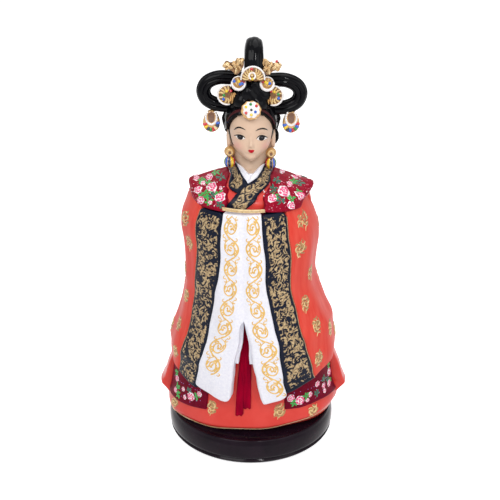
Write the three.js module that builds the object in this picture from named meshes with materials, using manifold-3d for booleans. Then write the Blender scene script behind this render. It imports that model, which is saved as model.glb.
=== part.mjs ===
// Bride doll in court dress: a cast and hand-painted figurine on a turned base.
// Millimetres, +Z up, the doll faces -Y, origin at the middle of the underside.
// Left and right are the viewer's, seen from the front.
import * as THREE from "three";
import { mergeVertices } from "three/addons/utils/BufferGeometryUtils.js";
import Module from "manifold-3d";

const wasm = await Module();
wasm.setup();

// Driving dimensions of the base
const FELT_THICKNESS = 1.0;
const FELT_RADIUS = 38;
const BASE_RADIUS = 42;
const BASE_HEIGHT = 12.2;
const BEAD_INSET = 1.3;
const BEAD_WIDTH = 1.8;
const BEAD_HEIGHT = 0.6;
// Turned side of the base, from the foot up over a groove: inset from its radius and height
const BASE_SIDE = [[1.8, 0], [0.5, 1.7], [0.9, 2.6], [0.3, 3.3], [0, 4.6], [0, 7.2], [0.4, 9.6], [1.1, 11.5]];

// Driving dimensions of the two screws that hold the figure on its base
const SCREW_RADIUS = 1.5;
const SCREW_LENGTH = 20;
const SCREW_HEAD_RADIUS = 3;
const SCREW_HEAD_HEIGHT = 1.8;
const SCREW_SPACING = 30;
const SCREW_RECESS = 0.4;

// Gaps between pieces that meet
const CLEARANCE = 0.3;

// Driving dimensions of the dress
const WAIST = 97;
const NECKLINE = 128;
const HEM_TILT = 2.1;
const HEM_LIP = 2;
const HEM_FADE = 24;
const BACK_FOLD_DEPTH = 0.7;
const BACK_FOLD_COUNT = 15;
const BAND_THICKNESS = 0.9;
const SASH_THICKNESS = 0.8;
const COLLAR_THICKNESS = 1.4;
const LINING_THICKNESS = 0.9;
const CLOTH_STEP = 0.7;
const SLEEVE_STEP = 0.3;
const SLEEVE_DEPTH = 14;
const CLOTH_DEPTH = 18;
const BACK_DEPTH = 9;
const TRIM_DEPTH = 4;
const SIDE_SLIT = 80;
const ROLL_RADIUS = 1.05;
const ROLL_RISE = 0.5;
const ROLL_OVERHANG = 2;
const ROLL_SINK = 0.4;
const FRONT_REACH = 40;
const COLLAR_BACK = 2;

// Cross sections of the dress: height above the base, sideways offset of the middle,
// half width, depth in front of the middle and depth behind it
const SKIRT = [
  [0, 0, 37, 27, 27],
  [1.4, 0.3, 41, 30, 29.6],
  [2.9, 0.5, 42.2, 33.4, 32.4],
  [4.2, 0.5, 42.4, 34.3, 33],
  [6, 0.5, 42.2, 33.8, 32.8],
  [9, 0.5, 41.4, 33, 32],
  [13, 0.5, 40.4, 32.2, 31.4],
  [25, 0.8, 38.8, 31, 30],
  [45, 1, 35.5, 29, 27.5],
  [65, 0.8, 30.5, 27, 24.5],
  [85, 0, 27.7, 25.5, 21.5],
  [WAIST, 0, 27.3, 25, 20.6],
];
const TORSO = [
  [WAIST, 0, 27.3, 25, 20.6],
  [110, -0.3, 27.1, 25, 19.6],
  [115, -0.5, 26.2, 26.1, 17.6],
  [117.6, -0.6, 25.2, 25, 14.6],
  [119.6, -1.2, 22.8, 23, 11.2],
  [121, -1.1, 20, 21.5, 9.2],
  [122.4, -0.7, 16.4, 19.4, 8.2],
  [124, -0.2, 11, 17, 7.8],
  [126.5, 0, 8.7, 14.2, 7.5],
  [NECKLINE, 0, 7.6, 9.5, 7],
];
const BACK_PANEL = [
  [5.5, 0.3, 44, 34, 34],
  [8.6, 1.2, 46.5, 34, 35],
  [12.8, 1.2, 46.9, 34, 35.8],
  [16, 1.3, 45.2, 34, 35.6],
  [20, 1.4, 43.8, 33.4, 35],
  [23.3, 1.4, 43, 33, 34.6],
  [27, 1.4, 41.6, 32.6, 33.8],
  [32, 1, 40.2, 32, 32.6],
  [45, 1, 37.4, 30.6, 30],
  [65, 0.8, 32.4, 28.6, 26.8],
  [85, 0, 29.5, 27, 24],
  [97, 0, 29.1, 26.6, 23],
  [110, -0.3, 28.8, 26.6, 21.6],
  [114, -0.5, 27.9, 26.6, 19.8],
  [117, -0.6, 26.8, 25, 16.8],
];
const SLEEVE = [
  [18, 1.4, 43.4, 37.8, 33.5],
  [23, 1.5, 43.2, 38, 33.4],
  [30, 1, 41.6, 38.2, 33.2],
  [34, 1.2, 41.6, 38.1, 32.8],
  [38, 1, 41.6, 38, 32.3],
  [44, 1.2, 40.2, 37.7, 31.6],
  [50, 1.9, 38.7, 37.3, 30.8],
  [57, 1.3, 36, 36.8, 29.8],
  [63, 0.8, 34.3, 36.3, 28.6],
  [70, 0.1, 32.4, 35.8, 27.2],
  [76, -0.5, 31.8, 35.3, 26.4],
  [84, -0.2, 31.9, 34.7, 25.6],
  [92, 0, 32.5, 34, 25.2],
  [99, -0.6, 32.6, 33.3, 24.9],
  [105, -0.9, 31.2, 32.6, 24.4],
  [110, -0.9, 29.1, 32, 23.4],
  [114, -1.1, 27.6, 30.8, 22],
  [118, -1.1, 26.6, 27.4, 20.2],
];
const SHOULDER = [
  [108, -0.9, 31, 33, 24],
  [112, -0.9, 29.4, 32.2, 23],
  [114.5, -0.9, 28.4, 31, 21.8],
  [117, -0.4, 28.7, 29.4, 19.2],
  [118.4, -0.6, 27.9, 27.7, 16],
  [119.6, -1.8, 25.4, 25.8, 13],
  [121, -1.5, 22.4, 24, 11],
  [122.4, -1.1, 18.6, 21.8, 10],
  [124, -0.4, 12.6, 18.9, 9.4],
  [126.5, 0, 10, 15.3, 9],
  [128.8, 0, 8.9, 10.8, 8],
];

// Side edges of the hanging cloth: height above the base and turn from the front in degrees
const CLOTH_LEFT_OUTER = [[18, -41], [26.4, -40.8], [42.8, -36], [58.6, -35], [74.7, -30.2], [81, -27.5],
  [94.5, -24.2], [103, -22.2], [114, -22]];
const CLOTH_LEFT_INNER = [[18, -15], [23, -15], [30, -14], [41.6, -12.5], [46.5, -12], [60.6, -9.8],
  [63, -6.9],
  [118, -5]];
const CLOTH_RIGHT_INNER = [[18, 6], [20.6, 5], [22.4, 4], [32.5, 2.2], [42.7, -0.8], [60, -5.6],
  [63, -6.9], [118, -5]];
const CLOTH_RIGHT_OUTER = [[18, 21.6], [25.6, 20.8], [46, 17.2], [58.4, 15.8], [73.4, 14.8], [82.5, 12.2],
  [98.8, 11], [112, 12.2]];
const BAND_LEFT_OUTER = [[18, -62], [27, -60.3], [48.1, -56.5], [62.5, -57], [83.4, -54.2], [96.5, -49],
  [107.6, -50], [118, -48]];
const BAND_RIGHT_OUTER = [[18, 47], [27.6, 45.8], [51.9, 36.4], [66.7, 38.2], [86.9, 35.5], [100.9, 33.8],
  [111.1, 37.4]];
const SASH_MIDDLE = [[0, -6], [70, -6]];
const SASH_LEFT_OUTER = [[0, -10.5], [36.9, -11.5], [38, -14], [70, -12]];
const SASH_RIGHT_OUTER = [[0, -0.8], [37, -1], [38, 2], [70, -1]];

// Lower edges: turn from the front in degrees and height above the base
const CLOTH_LEFT_HEM = [[-40.8, 26], [-39.8, 24.9], [-29.5, 24], [-20.8, 20.7], [-17.5, 20.1], [-15, 22.9]];
const CLOTH_RIGHT_HEM = [[4.2, 22.4], [5.4, 20.6], [17.2, 22], [21.2, 23.8]];
const BAND_LEFT_HEM = [[-60.3, 27], [-45.2, 23.5], [-40, 22.8]];
const BAND_RIGHT_HEM = [[20.8, 23.5], [25.5, 24.3], [35.5, 26.4], [45.8, 27.6]];
const SLEEVE_LEFT_HEM = [[-116, 37], [-100, 32.5], [-85, 29.2], [-71, 27.6], [-60.3, 27]];
const SLEEVE_RIGHT_HEM = [[45.8, 27.6], [54.5, 28.9], [66.2, 30], [100, 34.5], [116, 37]];
const SLEEVE_BACK_EDGE = 114;
const CUFF_TOP = 113.4;
const SLEEVE_TOP = 116.8;
const BACK_TOP = 116.5;
const BACK_HEM = 5.8;
const HEM_BAND_LOW = [[-79, 9.4], [-59.5, 9.4], [-45.5, 10.1], [-32, 11.2], [23, 11.4], [33, 10.4],
  [49.5, 10.3], [73, 8.4]];
const HEM_BAND_TOP = 30;
const HEM_BAND_LEFT_FRONT = -32.4;
const HEM_BAND_RIGHT_FRONT = 22.8;
const SASH_LEFT_END = 9.9;
const SASH_RIGHT_END = 13.6;
const SASH_TOP = 66;

// Outlines seen from the front: sideways place and height above the base
const SHOULDER_LEFT = [[-9.6, 129.5], [-10.3, 121.7], [-11.1, 118.4], [-12.6, 114.4], [-16.4, 114.9],
  [-20.3, 115.6], [-26.3, 116.2], [-28.2, 118.2], [-30.5, 119.5], [-30.5, 129.5]];
const SHOULDER_RIGHT = [[8.6, 129.5], [7.8, 121.8], [5.8, 118.6], [6.1, 114.8], [11, 113.6], [16.3, 113.2],
  [21.9, 113.4], [27.3, 116.4], [29.5, 117], [29.5, 129.5]];
const COLLAR_UNDER = [[-9.4, 129.5], [-6.6, 129.5], [-1.2, 123.6], [-3.6, 119.4], [-7.5, 120], [-9.6, 123.3]];
const COLLAR_OVER = [[6.4, 129.5], [8.2, 129.5], [8.3, 121.5], [4.9, 118.8], [-0.9, 115.4], [-11, 115],
  [-6.6, 119.7], [-2.3, 122.8], [3.1, 125]];
const LINING = [[-6.3, 129.5], [-3.6, 129.5], [-0.3, 126.8], [3.6, 129.5], [6.1, 129.5], [2.8, 126.2],
  [-0.9, 124.2]];

// Driving dimensions of the head
const HEAD_FORWARD = 6.5;
const CHIN_HEIGHT = 134;
const NECK_ROOT = -15;
const HAIR_THICKNESS = 1.9;
const HAIRLINE_HALF_WIDTH = 9.6;
const HAIRLINE_MIDDLE = 9;
const HAIRLINE_TOP = 21.8;
const EAR_TOP = 11.6;
const EAR_LENGTH = 8.2;
const EAR_REACH = 11.1;
const EAR_THICKNESS = 1.2;
const EAR_HALF_WIDTH = 2;
const EAR_BACK = 0.2;
const EAR_GAP = 0.4;
const EAR_NOTCH = [40, 24, 20];
const EAR_NOTCH_BACK = 2.4;
const NOSE_HEIGHT = 7.8;
const NOSE_RADII = [1, 1, 1.7];
const RIBBON_RADIUS = 0.4;
const RIBBON_START = 14;
const RIBBON_SPREAD = 62;

// Cross sections of the head, from the chin up
const FACE = [
  [-0.7, 0, 0.9, 8.6, 1],
  [0, 0, 3.4, 10, 3],
  [1.3, 0, 5.5, 10.7, 6],
  [4.2, 0, 7.6, 11, 8.6],
  [8.8, 0, 9.4, 10.7, 10.6],
  [13, 0, 9.8, 10.7, 11.3],
  [17.5, 0, 9.5, 10.6, 11.2],
  [21, 0, 8.4, 9.3, 10],
  [24, 0, 6, 6.8, 7.6],
  [26, 0, 2, 2.4, 2.6],
];
const NECK = [
  [NECK_ROOT, 0, 4.2, 5.2, 4],
  [-9, 0, 4.5, 7.6, 4.6],
  [-6.6, 0, 5, 7.9, 5],
  [-4.4, 0, 5, 5.8, 5.1],
  [-1, 0, 4.9, 4.8, 5],
  [6, 0, 4.8, 4.8, 5],
];
const KNOT = [
  [20, 0.3, 9, 8.6, 9],
  [24, 0.3, 10.4, 10.4, 10],
  [28, 0.4, 10, 9.8, 10],
  [32, 0.6, 8.4, 8.6, 9],
  [35.5, 0.9, 6, 6.8, 7.5],
  [37.5, 1.1, 3.6, 4.4, 5],
];

// Paths of the looped braids, measured from the chin: sideways, back and up
const LOOP_LEFT_PATH = [[-3, 0.5, 34.4], [-9, 0.5, 35.2], [-15, 0.5, 35.1], [-19.6, 0.5, 32.8],
  [-21.2, 0.5, 29], [-19.8, 0.5, 25.1], [-15.5, 0.5, 22.8], [-10, 0.5, 22.3], [-3, 0.5, 23]];
const LOOP_RIGHT_PATH = [[3, 0.5, 33.4], [9.4, 0.5, 34.1], [15.6, 0.5, 34], [20.4, 0.5, 31.6],
  [22, 0.5, 27.8], [20.4, 0.5, 23.9], [16, 0.5, 21.6], [10.4, 0.5, 21.2], [3, 0.5, 22]];
const LOOP_TOP_PATH = [[1.3, -2, 32], [1.3, -4.4, 38], [1.3, -4.2, 43], [1.3, -1.4, 47.6], [1.3, 3.4, 49],
  [1.3, 8, 46.8], [1.3, 10, 42], [1.3, 9, 37], [1.3, 5, 32]];
const BRAID_HALF_WIDTH = 3.3;
const BRAID_HALF_DEPTH = 3.1;
const TOP_BRAID_HALF_WIDTH = 4.4;
const TOP_BRAID_HALF_DEPTH = 2.7;

// Hair ornaments: place measured from the chin, then size
const ORNAMENT_TILT = -14;
const ORNAMENT_SEGMENTS = 6;
const ROSETTE_PLACE = [-0.2, -10.4, 23.2];
const ROSETTE_RADIUS = 4.4;
const ROSETTE_PETALS = 8;
const ROSETTE_BITE = 0.5;
const ROSETTE_THICKNESS = 3;
const FAN_TOP_PLACE = [1.3, -7.8, 37.2];
const FAN_TOP_RADIUS = 5.5;
const FAN_TOP_CHORD = 0.6;
const FAN_TOP_THICKNESS = 3;
const CRESCENT_PLACES = [[-5.3, -5.6, 34.2], [7, -5.6, 33.8]];
const CRESCENT_RADIUS = 3.7;
const CRESCENT_THICKNESS = 3;
const CRESCENT_SPIN = 0.25;
const FAN_PLACES = [[-10.4, -4.1, 28.2], [9.8, -4.1, 27.8]];
const FAN_RADIUS = 4.3;
const FAN_CHORD = 1.4;
const FAN_THICKNESS = 4;
const FAN_SPIN = 0.9;
const BUTTERFLY_PLACES = [[-7.6, -3.4, 39.6], [8.8, -3.4, 39.2]];
const BUTTERFLY_SPAN = 9.4;
const BUTTERFLY_THICKNESS = 2.5;
const PENDANT_PLACES = [[-17.8, -0.5, 14.4], [18, -0.5, 14]];
const PENDANT_RADIUS = 3.8;
const PENDANT_THICKNESS = 3;
const PENDANT_BEVEL = 0.5;
const EARRING_PLACES = [[-9.7, -2.2, 1.7], [9, -2.2, 1.1]];
const EARRING_RADIUS = 2.1;
const EARRING_BEAD_RADIUS = 2.5;
const BEAD_NESTING = 0.9;
const BUN_RADII = [7.2, 6, 4.8];
const BUN_HEIGHT = 8;
const BUN_STAND_OUT = 2.1;

const MEAN_RADIUS = 30;
const ROUND = 26;
const BASE_ROUND = 36;
const SCREW_ROUND = 12;
const HEAD_ROUND = 18;
const NECK_ROUND = 14;
const DEG = Math.PI / 180;

// Value of each column of a table of cross sections at a height, by a smooth curve through its rows
function sectionAt(rows, height) {
  const last = rows.length - 2;
  const found = rows.findIndex((row) => row[0] > height) - 1;
  const k = found < -1 || height >= rows[last + 1][0] ? last : Math.max(0, found);
  const span = rows[k + 1][0] - rows[k][0];
  const t = THREE.MathUtils.clamp((height - rows[k][0]) / span, 0, 1);
  const before = rows[Math.max(0, k - 1)];
  const after = rows[Math.min(rows.length - 1, k + 2)];
  return [1, 2, 3, 4].map((c) => {
    const slopeIn = (rows[k + 1][c] - before[c]) / (rows[k + 1][0] - before[0]);
    const slopeOut = (after[c] - rows[k][c]) / (after[0] - rows[k][0]);
    return (2 * t ** 3 - 3 * t ** 2 + 1) * rows[k][c] + (t ** 3 - 2 * t ** 2 + t) * span * slopeIn
      + (3 * t ** 2 - 2 * t ** 3) * rows[k + 1][c] + (t ** 3 - t ** 2) * span * slopeOut;
  });
}

// A sheet is a function of turn in degrees and height; this one follows a table of cross sections
function sheetOf(rows, shape = () => 0) {
  const bare = (turn, height) => {
    const [middle, half, front, back] = sectionAt(rows, height);
    const forward = Math.cos(turn * DEG);
    const extra = shape(turn, height);
    const depth = (forward > 0 ? front : back) + extra;
    return new THREE.Vector3(middle + (half + extra) * Math.sin(turn * DEG), -depth * forward, height);
  };
  return (turn, height, grow = 0) => {
    const point = bare(turn, height);
    if (grow === 0) return point;
    const sideways = bare(turn + 0.5, height).sub(bare(turn - 0.5, height));
    const upward = bare(turn, height + 0.2).sub(bare(turn, height - 0.2));
    return point.addScaledVector(sideways.cross(upward).normalize(), grow);
  };
}

// Linear reading of a list of pairs, held at its ends
function edgeAt(points, at) {
  if (at <= points[0][0]) return points[0][1];
  const k = points.findIndex((point) => point[0] >= at);
  if (k < 0) return points[points.length - 1][1];
  const [a, b] = [points[k - 1], points[k]];
  return a[1] + (b[1] - a[1]) * (at - a[0]) / (b[0] - a[0]);
}

function geometryOf(points, faces) {
  const geometry = new THREE.BufferGeometry();
  geometry.setAttribute("position", new THREE.Float32BufferAttribute(points.flatMap((p) => p.toArray()), 3));
  geometry.setIndex(faces);
  return geometry;
}

// Closed solid of stacked rings of a sheet, with flat ends
function loft(sheet, levels, around, grow = 0) {
  const points = [];
  const faces = [];
  const top = levels.length - 1;
  levels.forEach((height, j) => {
    for (let i = 0; i < around; i += 1) {
      const point = sheet(i * 360 / around, height, grow);
      if (j === 0) point.z = height - grow;
      if (j === top) point.z = height + grow;
      points.push(point);
    }
  });
  points.push(new THREE.Vector3(0, 0, levels[0] - grow), new THREE.Vector3(0, 0, levels[top] + grow));
  const [low, high] = [points.length - 2, points.length - 1];
  for (let i = 0; i < around; i += 1) {
    const next = (i + 1) % around;
    for (let j = 0; j < top; j += 1) {
      const [a, b, c, d] = [j * around + i, j * around + next, (j + 1) * around + next, (j + 1) * around + i];
      faces.push(a, b, c, a, c, d);
    }
    faces.push(low, next, i, high, top * around + i, top * around + next);
  }
  return geometryOf(points, faces);
}

// Closed solid between a piece of a sheet and the same piece pushed in towards the axis;
// bunch draws its rows together near the hem
function plate({ sheet, left, right, low, high, depth, across, up, bunch = 1 }, grow = 0) {
  const outer = [];
  const inner = [];
  for (let i = 0; i <= across; i += 1) {
    for (let j = 0; j <= up; j += 1) {
      const u = i / across;
      const middle = (low((left(0) + right(0)) / 2) + high) / 2;
      const guess = left(middle) + (right(middle) - left(middle)) * u;
      const bottom = low(guess) - grow;
      const height = bottom + (high + grow - bottom) * (j / up) ** bunch;
      const spread = grow / MEAN_RADIUS / DEG;
      const turn = left(height) - spread + (right(height) - left(height) + 2 * spread) * u;
      const point = sheet(turn, height, grow);
      const radius = Math.hypot(point.x, point.y);
      outer.push(point);
      inner.push(new THREE.Vector3(point.x, point.y, 0).multiplyScalar(1 - depth / radius).setZ(point.z));
    }
  }
  const count = outer.length;
  const rows = up + 1;
  const faces = [];
  const quad = (a, b, c, d) => faces.push(a, b, c, a, c, d);
  for (let i = 0; i < across; i += 1) {
    for (let j = 0; j < up; j += 1) {
      const [a, b, c, d] = [i * rows + j, (i + 1) * rows + j, (i + 1) * rows + j + 1, i * rows + j + 1];
      quad(a, b, c, d);
      quad(count + a, count + d, count + c, count + b);
    }
    const [a, b] = [i * rows, (i + 1) * rows];
    quad(b, a, count + a, count + b);
    quad(a + up, b + up, count + b + up, count + a + up);
  }
  for (let j = 0; j < up; j += 1) {
    const [a, b] = [j, across * rows + j];
    quad(a, a + 1, count + a + 1, count + a);
    quad(b + 1, b, count + b, count + b + 1);
  }
  return geometryOf([...outer, ...inner], faces);
}

// Flat outline in sideways and height, as a solid from front to back
function outlineSolid(points, front, back) {
  const shape = new THREE.Shape(points.map(([x, z]) => new THREE.Vector2(x, z)));
  const geometry = new THREE.ExtrudeGeometry(shape, { depth: back - front, bevelEnabled: false });
  return solidOf(geometry.rotateX(Math.PI / 2).translate(0, back, 0));
}

// Solid of an oval section carried along a smooth path
function braid(path, halfWidth, halfDepth, sides, steps) {
  const curve = new THREE.CatmullRomCurve3(path.map((p) => new THREE.Vector3(...p)), false, "centripetal");
  const section = new THREE.Shape();
  for (let i = 0; i < sides; i += 1) {
    const turn = (i + 0.5) * 2 * Math.PI / sides;
    const point = [halfWidth * Math.cos(turn), halfDepth * Math.sin(turn)];
    if (i === 0) section.moveTo(...point);
    else section.lineTo(...point);
  }
  section.closePath();
  return solidOf(new THREE.ExtrudeGeometry(section, { steps, extrudePath: curve, bevelEnabled: false }));
}

function solidOf(geometry) {
  const bare = geometry.clone();
  ["normal", "uv"].forEach((name) => bare.deleteAttribute(name));
  const merged = mergeVertices(bare, 1e-4);
  const vertProperties = new Float32Array(merged.attributes.position.array);
  const triVerts = new Uint32Array(merged.index.array);
  return new wasm.Manifold(new wasm.Mesh({ numProp: 3, vertProperties, triVerts }));
}

function cut(solid, ...cutters) {
  return cutters.reduce((rest, cutter) => rest.subtract(cutter), solid);
}

function moved(geometry, [x, y, z]) {
  return geometry.translate(x, y, z);
}

const finishes = {};
function finish(name, color, roughness, metalness = 0) {
  finishes[name] = () => new THREE.MeshStandardMaterial({ color, roughness, metalness });
}
finish("lacquer", "#15131a", 0.2);
finish("felt", "#1b1b1d", 0.95);
finish("steel", "#9a9a9c", 0.35, 1);
finish("coral", "#e4483a", 0.35);
finish("crimson", "#8e1230", 0.4);
finish("navy", "#0e1430", 0.35);
finish("white", "#f3f2f4", 0.4);
finish("gold", "#c9a26b", 0.4, 0.3);
finish("skin", "#e6c5a4", 0.45);
finish("hair", "#0e0e12", 0.15);
finish("ribbon", "#6a1018", 0.4);

const doll = new THREE.Group();
const figure = new THREE.Group();
figure.position.z = FELT_THICKNESS + BASE_HEIGHT;
const head = new THREE.Group();
head.position.set(0, -HEAD_FORWARD, CHIN_HEIGHT);
doll.add(figure);
figure.add(head);

function addPiece(parent, name, shape, finishName) {
  let geometry = shape;
  if (!shape.isBufferGeometry) {
    const { vertProperties, triVerts } = shape.getMesh();
    geometry = new THREE.BufferGeometry();
    geometry.setAttribute("position", new THREE.BufferAttribute(new Float32Array(vertProperties), 3));
    geometry.setIndex(new THREE.BufferAttribute(new Uint32Array(triVerts), 1));
  }
  geometry.computeVertexNormals();
  const mesh = new THREE.Mesh(geometry, finishes[finishName]());
  mesh.name = name;
  parent.add(mesh);
}

// Turned base with a felt sole and two countersunk screws
function addBase() {
  const felt = new THREE.CylinderGeometry(FELT_RADIUS, FELT_RADIUS, FELT_THICKNESS, BASE_ROUND);
  felt.rotateX(Math.PI / 2).translate(0, 0, FELT_THICKNESS / 2);
  const feltSolid = solidOf(felt);

  const bead = BASE_RADIUS - BEAD_INSET;
  const outline = [
    [0, 0], ...BASE_SIDE.map(([inset, z]) => [BASE_RADIUS - inset, z]), [bead, BASE_HEIGHT + BEAD_HEIGHT],
    [bead - BEAD_WIDTH / 2, BASE_HEIGHT + BEAD_HEIGHT], [bead - BEAD_WIDTH, BASE_HEIGHT], [0, BASE_HEIGHT],
  ];
  const turned = new THREE.LatheGeometry(outline.map(([r, z]) => new THREE.Vector2(r, z)), BASE_ROUND);
  let plinth = solidOf(turned.rotateX(Math.PI / 2).translate(0, 0, FELT_THICKNESS));
  let sole = feltSolid;
  const screws = [];
  for (const side of [-1, 1]) {
    const place = side * SCREW_SPACING / 2;
    const seat = FELT_THICKNESS + SCREW_RECESS;
    const rise = SCREW_HEAD_RADIUS - SCREW_RADIUS;
    const profile = (grow) => [
      [0, seat], [SCREW_HEAD_RADIUS + grow, seat], [SCREW_RADIUS + grow, seat + SCREW_HEAD_HEIGHT],
      [SCREW_RADIUS + grow, seat + SCREW_LENGTH], [0, seat + SCREW_LENGTH + grow + rise / 2],
    ];
    const turnedSolid = (points) => {
      const lathe = new THREE.LatheGeometry(points.map(([r, z]) => new THREE.Vector2(r, z)), SCREW_ROUND);
      return solidOf(lathe.rotateX(Math.PI / 2).translate(place, 0, 0));
    };
    screws.push(turnedSolid(profile(0)));
    const hole = profile(CLEARANCE);
    hole[0][1] = -1;
    hole.splice(1, 0, [SCREW_HEAD_RADIUS + CLEARANCE, -1]);
    const bore = turnedSolid(hole);
    plinth = plinth.subtract(bore);
    sole = sole.subtract(bore);
    screwHoles.push(bore.translate([0, 0, -figure.position.z]));
  }
  addPiece(doll, "base_felt", sole, "felt");
  addPiece(doll, "base_plinth", plinth, "lacquer");
  addPiece(doll, "base_screw_left", screws[0], "steel");
  addPiece(doll, "base_screw_right", screws[1], "steel");
}

const screwHoles = [];
addBase();

// Tilt of the hem: the skirt hangs a little lower on the left
function tilted(sheet) {
  return (turn, height, grow) => {
    const point = sheet(turn, height, grow);
    const fade = height > HEM_LIP ? THREE.MathUtils.clamp(1 - (height - HEM_LIP) / HEM_FADE, 0, 1) : 0;
    const forward = THREE.MathUtils.clamp(3 * Math.cos(turn * DEG), 0, 1);
    point.z += HEM_TILT * fade * forward * point.x / BASE_RADIUS;
    return point;
  };
}
const backFolds = (turn, height) => {
  const behind = Math.max(0, -Math.cos(turn * DEG)) ** 0.6;
  const fade = THREE.MathUtils.clamp(1.15 - height / 110, 0, 1);
  return BACK_FOLD_DEPTH * behind * fade * Math.cos(BACK_FOLD_COUNT * turn * DEG);
};
const skirtSheet = tilted(sheetOf(SKIRT));
const torsoSheet = sheetOf(TORSO);
const backSheet = sheetOf(BACK_PANEL, backFolds);
const sleeveSheet = sheetOf(SLEEVE);
const shoulderSheet = sheetOf(SHOULDER);

const SKIRT_LEVELS = [0, 1.4, 2.9, 4.2, 6, 9, 13, 25, 45, 65, 85, WAIST];
const TORSO_LEVELS = TORSO.map((row) => row[0]);
const fixed = (value) => () => value;
const along = (points) => (at) => edgeAt(points, at);

const skirtGrown = solidOf(loft(skirtSheet, SKIRT_LEVELS, ROUND, CLEARANCE));
const torsoGrown = solidOf(loft(torsoSheet, TORSO_LEVELS, ROUND, CLEARANCE));
const core = skirtGrown.add(torsoGrown);
const neckSheet = sheetOf(NECK);
const NECK_LEVELS = NECK.map((row) => row[0]);
const toFigure = (solid) => solid.translate([0, -HEAD_FORWARD, CHIN_HEIGHT]);
const neckGrown = toFigure(solidOf(loft(neckSheet, NECK_LEVELS, NECK_ROUND, CLEARANCE)));

addPiece(figure, "skirt", cut(solidOf(loft(skirtSheet, SKIRT_LEVELS, ROUND)), ...screwHoles), "coral");
addPiece(figure, "robe_body", cut(solidOf(loft(torsoSheet, TORSO_LEVELS, ROUND)), neckGrown), "coral");

// Long back panel of the robe, open at both sides
const backPanel = {
  sheet: backSheet, left: fixed(SIDE_SLIT), right: fixed(360 - SIDE_SLIT), low: fixed(BACK_HEM),
  high: BACK_TOP, depth: BACK_DEPTH, across: 24, up: 12, bunch: 1.8,
};
addPiece(figure, "robe_back", cut(solidOf(plate(backPanel)), core), "coral");
const backGrown = solidOf(plate(backPanel, CLEARANCE));

// Embroidered hem bands of the front skirts
const bandSheet = (turn, height, grow = 0) => skirtSheet(turn, height, grow + CLEARANCE + BAND_THICKNESS);
const hemBand = (front, side) => ({
  sheet: bandSheet, left: fixed(Math.min(front, side)), right: fixed(Math.max(front, side)),
  low: along(HEM_BAND_LOW), high: HEM_BAND_TOP, depth: TRIM_DEPTH, across: 8, up: 4,
});
const slitEdge = SIDE_SLIT - 1;
const hemBands = {
  left: hemBand(HEM_BAND_LEFT_FRONT, -slitEdge),
  right: hemBand(HEM_BAND_RIGHT_FRONT, slitEdge),
};
// Two tails of the sash that hang in the parting of the white cloths
const sashSheet = (turn, height, grow = 0) => skirtSheet(turn, height, grow + CLEARANCE + SASH_THICKNESS);
const sashGap = CLEARANCE / 2 / MEAN_RADIUS / DEG;
const sashTails = {
  left: {
    sheet: sashSheet, left: along(SASH_LEFT_OUTER), right: (h) => edgeAt(SASH_MIDDLE, h) - sashGap,
    low: fixed(SASH_LEFT_END), high: SASH_TOP, depth: TRIM_DEPTH, across: 2, up: 10,
  },
  right: {
    sheet: sashSheet, left: (h) => edgeAt(SASH_MIDDLE, h) + sashGap, right: along(SASH_RIGHT_OUTER),
    low: fixed(SASH_RIGHT_END), high: SASH_TOP, depth: TRIM_DEPTH, across: 2, up: 10,
  },
};
const trims = [];
for (const side of ["left", "right"]) {
  addPiece(figure, `hem_band_${side}`, cut(solidOf(plate(hemBands[side])), core, backGrown), "crimson");
  addPiece(figure, `sash_tail_${side}`, cut(solidOf(plate(sashTails[side])), core), "crimson");
  trims.push(solidOf(plate(hemBands[side], CLEARANCE)), solidOf(plate(sashTails[side], CLEARANCE)));
}

// White cloths over the hands, navy sleeve bands and hanging sleeves, from the middle outwards
const raised = (lift) => (turn, height, grow = 0) => sleeveSheet(turn, height, grow + lift);
const hanging = {
  hansam_left: {
    sheet: raised(CLOTH_STEP), left: along(CLOTH_LEFT_OUTER), right: along(CLOTH_LEFT_INNER),
    low: along(CLOTH_LEFT_HEM), high: CUFF_TOP, depth: CLOTH_DEPTH, across: 4, up: 11, finish: "white",
  },
  hansam_right: {
    sheet: raised(CLOTH_STEP), left: along(CLOTH_RIGHT_INNER), right: along(CLOTH_RIGHT_OUTER),
    low: along(CLOTH_RIGHT_HEM), high: CUFF_TOP, depth: CLOTH_DEPTH, across: 4, up: 11, finish: "white",
  },
  sleeve_band_left: {
    sheet: raised(0), left: along(BAND_LEFT_OUTER), right: along(CLOTH_LEFT_OUTER),
    low: along(BAND_LEFT_HEM), high: CUFF_TOP, depth: CLOTH_DEPTH, across: 3, up: 10, finish: "navy",
  },
  sleeve_band_right: {
    sheet: raised(0), left: along(CLOTH_RIGHT_OUTER), right: along(BAND_RIGHT_OUTER),
    low: along(BAND_RIGHT_HEM), high: CUFF_TOP, depth: CLOTH_DEPTH, across: 3, up: 10, finish: "navy",
  },
  sleeve_left: {
    sheet: raised(-SLEEVE_STEP), left: fixed(-SLEEVE_BACK_EDGE), right: along(BAND_LEFT_OUTER),
    low: along(SLEEVE_LEFT_HEM), high: SLEEVE_TOP, depth: SLEEVE_DEPTH, across: 6, up: 10, finish: "coral",
  },
  sleeve_right: {
    sheet: raised(-SLEEVE_STEP), left: along(BAND_RIGHT_OUTER), right: fixed(SLEEVE_BACK_EDGE),
    low: along(SLEEVE_RIGHT_HEM), high: SLEEVE_TOP, depth: SLEEVE_DEPTH, across: 6, up: 10, finish: "coral",
  },
};
const hangingGrown = [];
for (const [name, piece] of Object.entries(hanging)) {
  const inner = [core, backGrown, ...trims, ...hangingGrown];
  addPiece(figure, name, cut(solidOf(plate(piece)), ...inner), piece.finish);
  hangingGrown.push(solidOf(plate(piece, CLEARANCE)));
}

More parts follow.
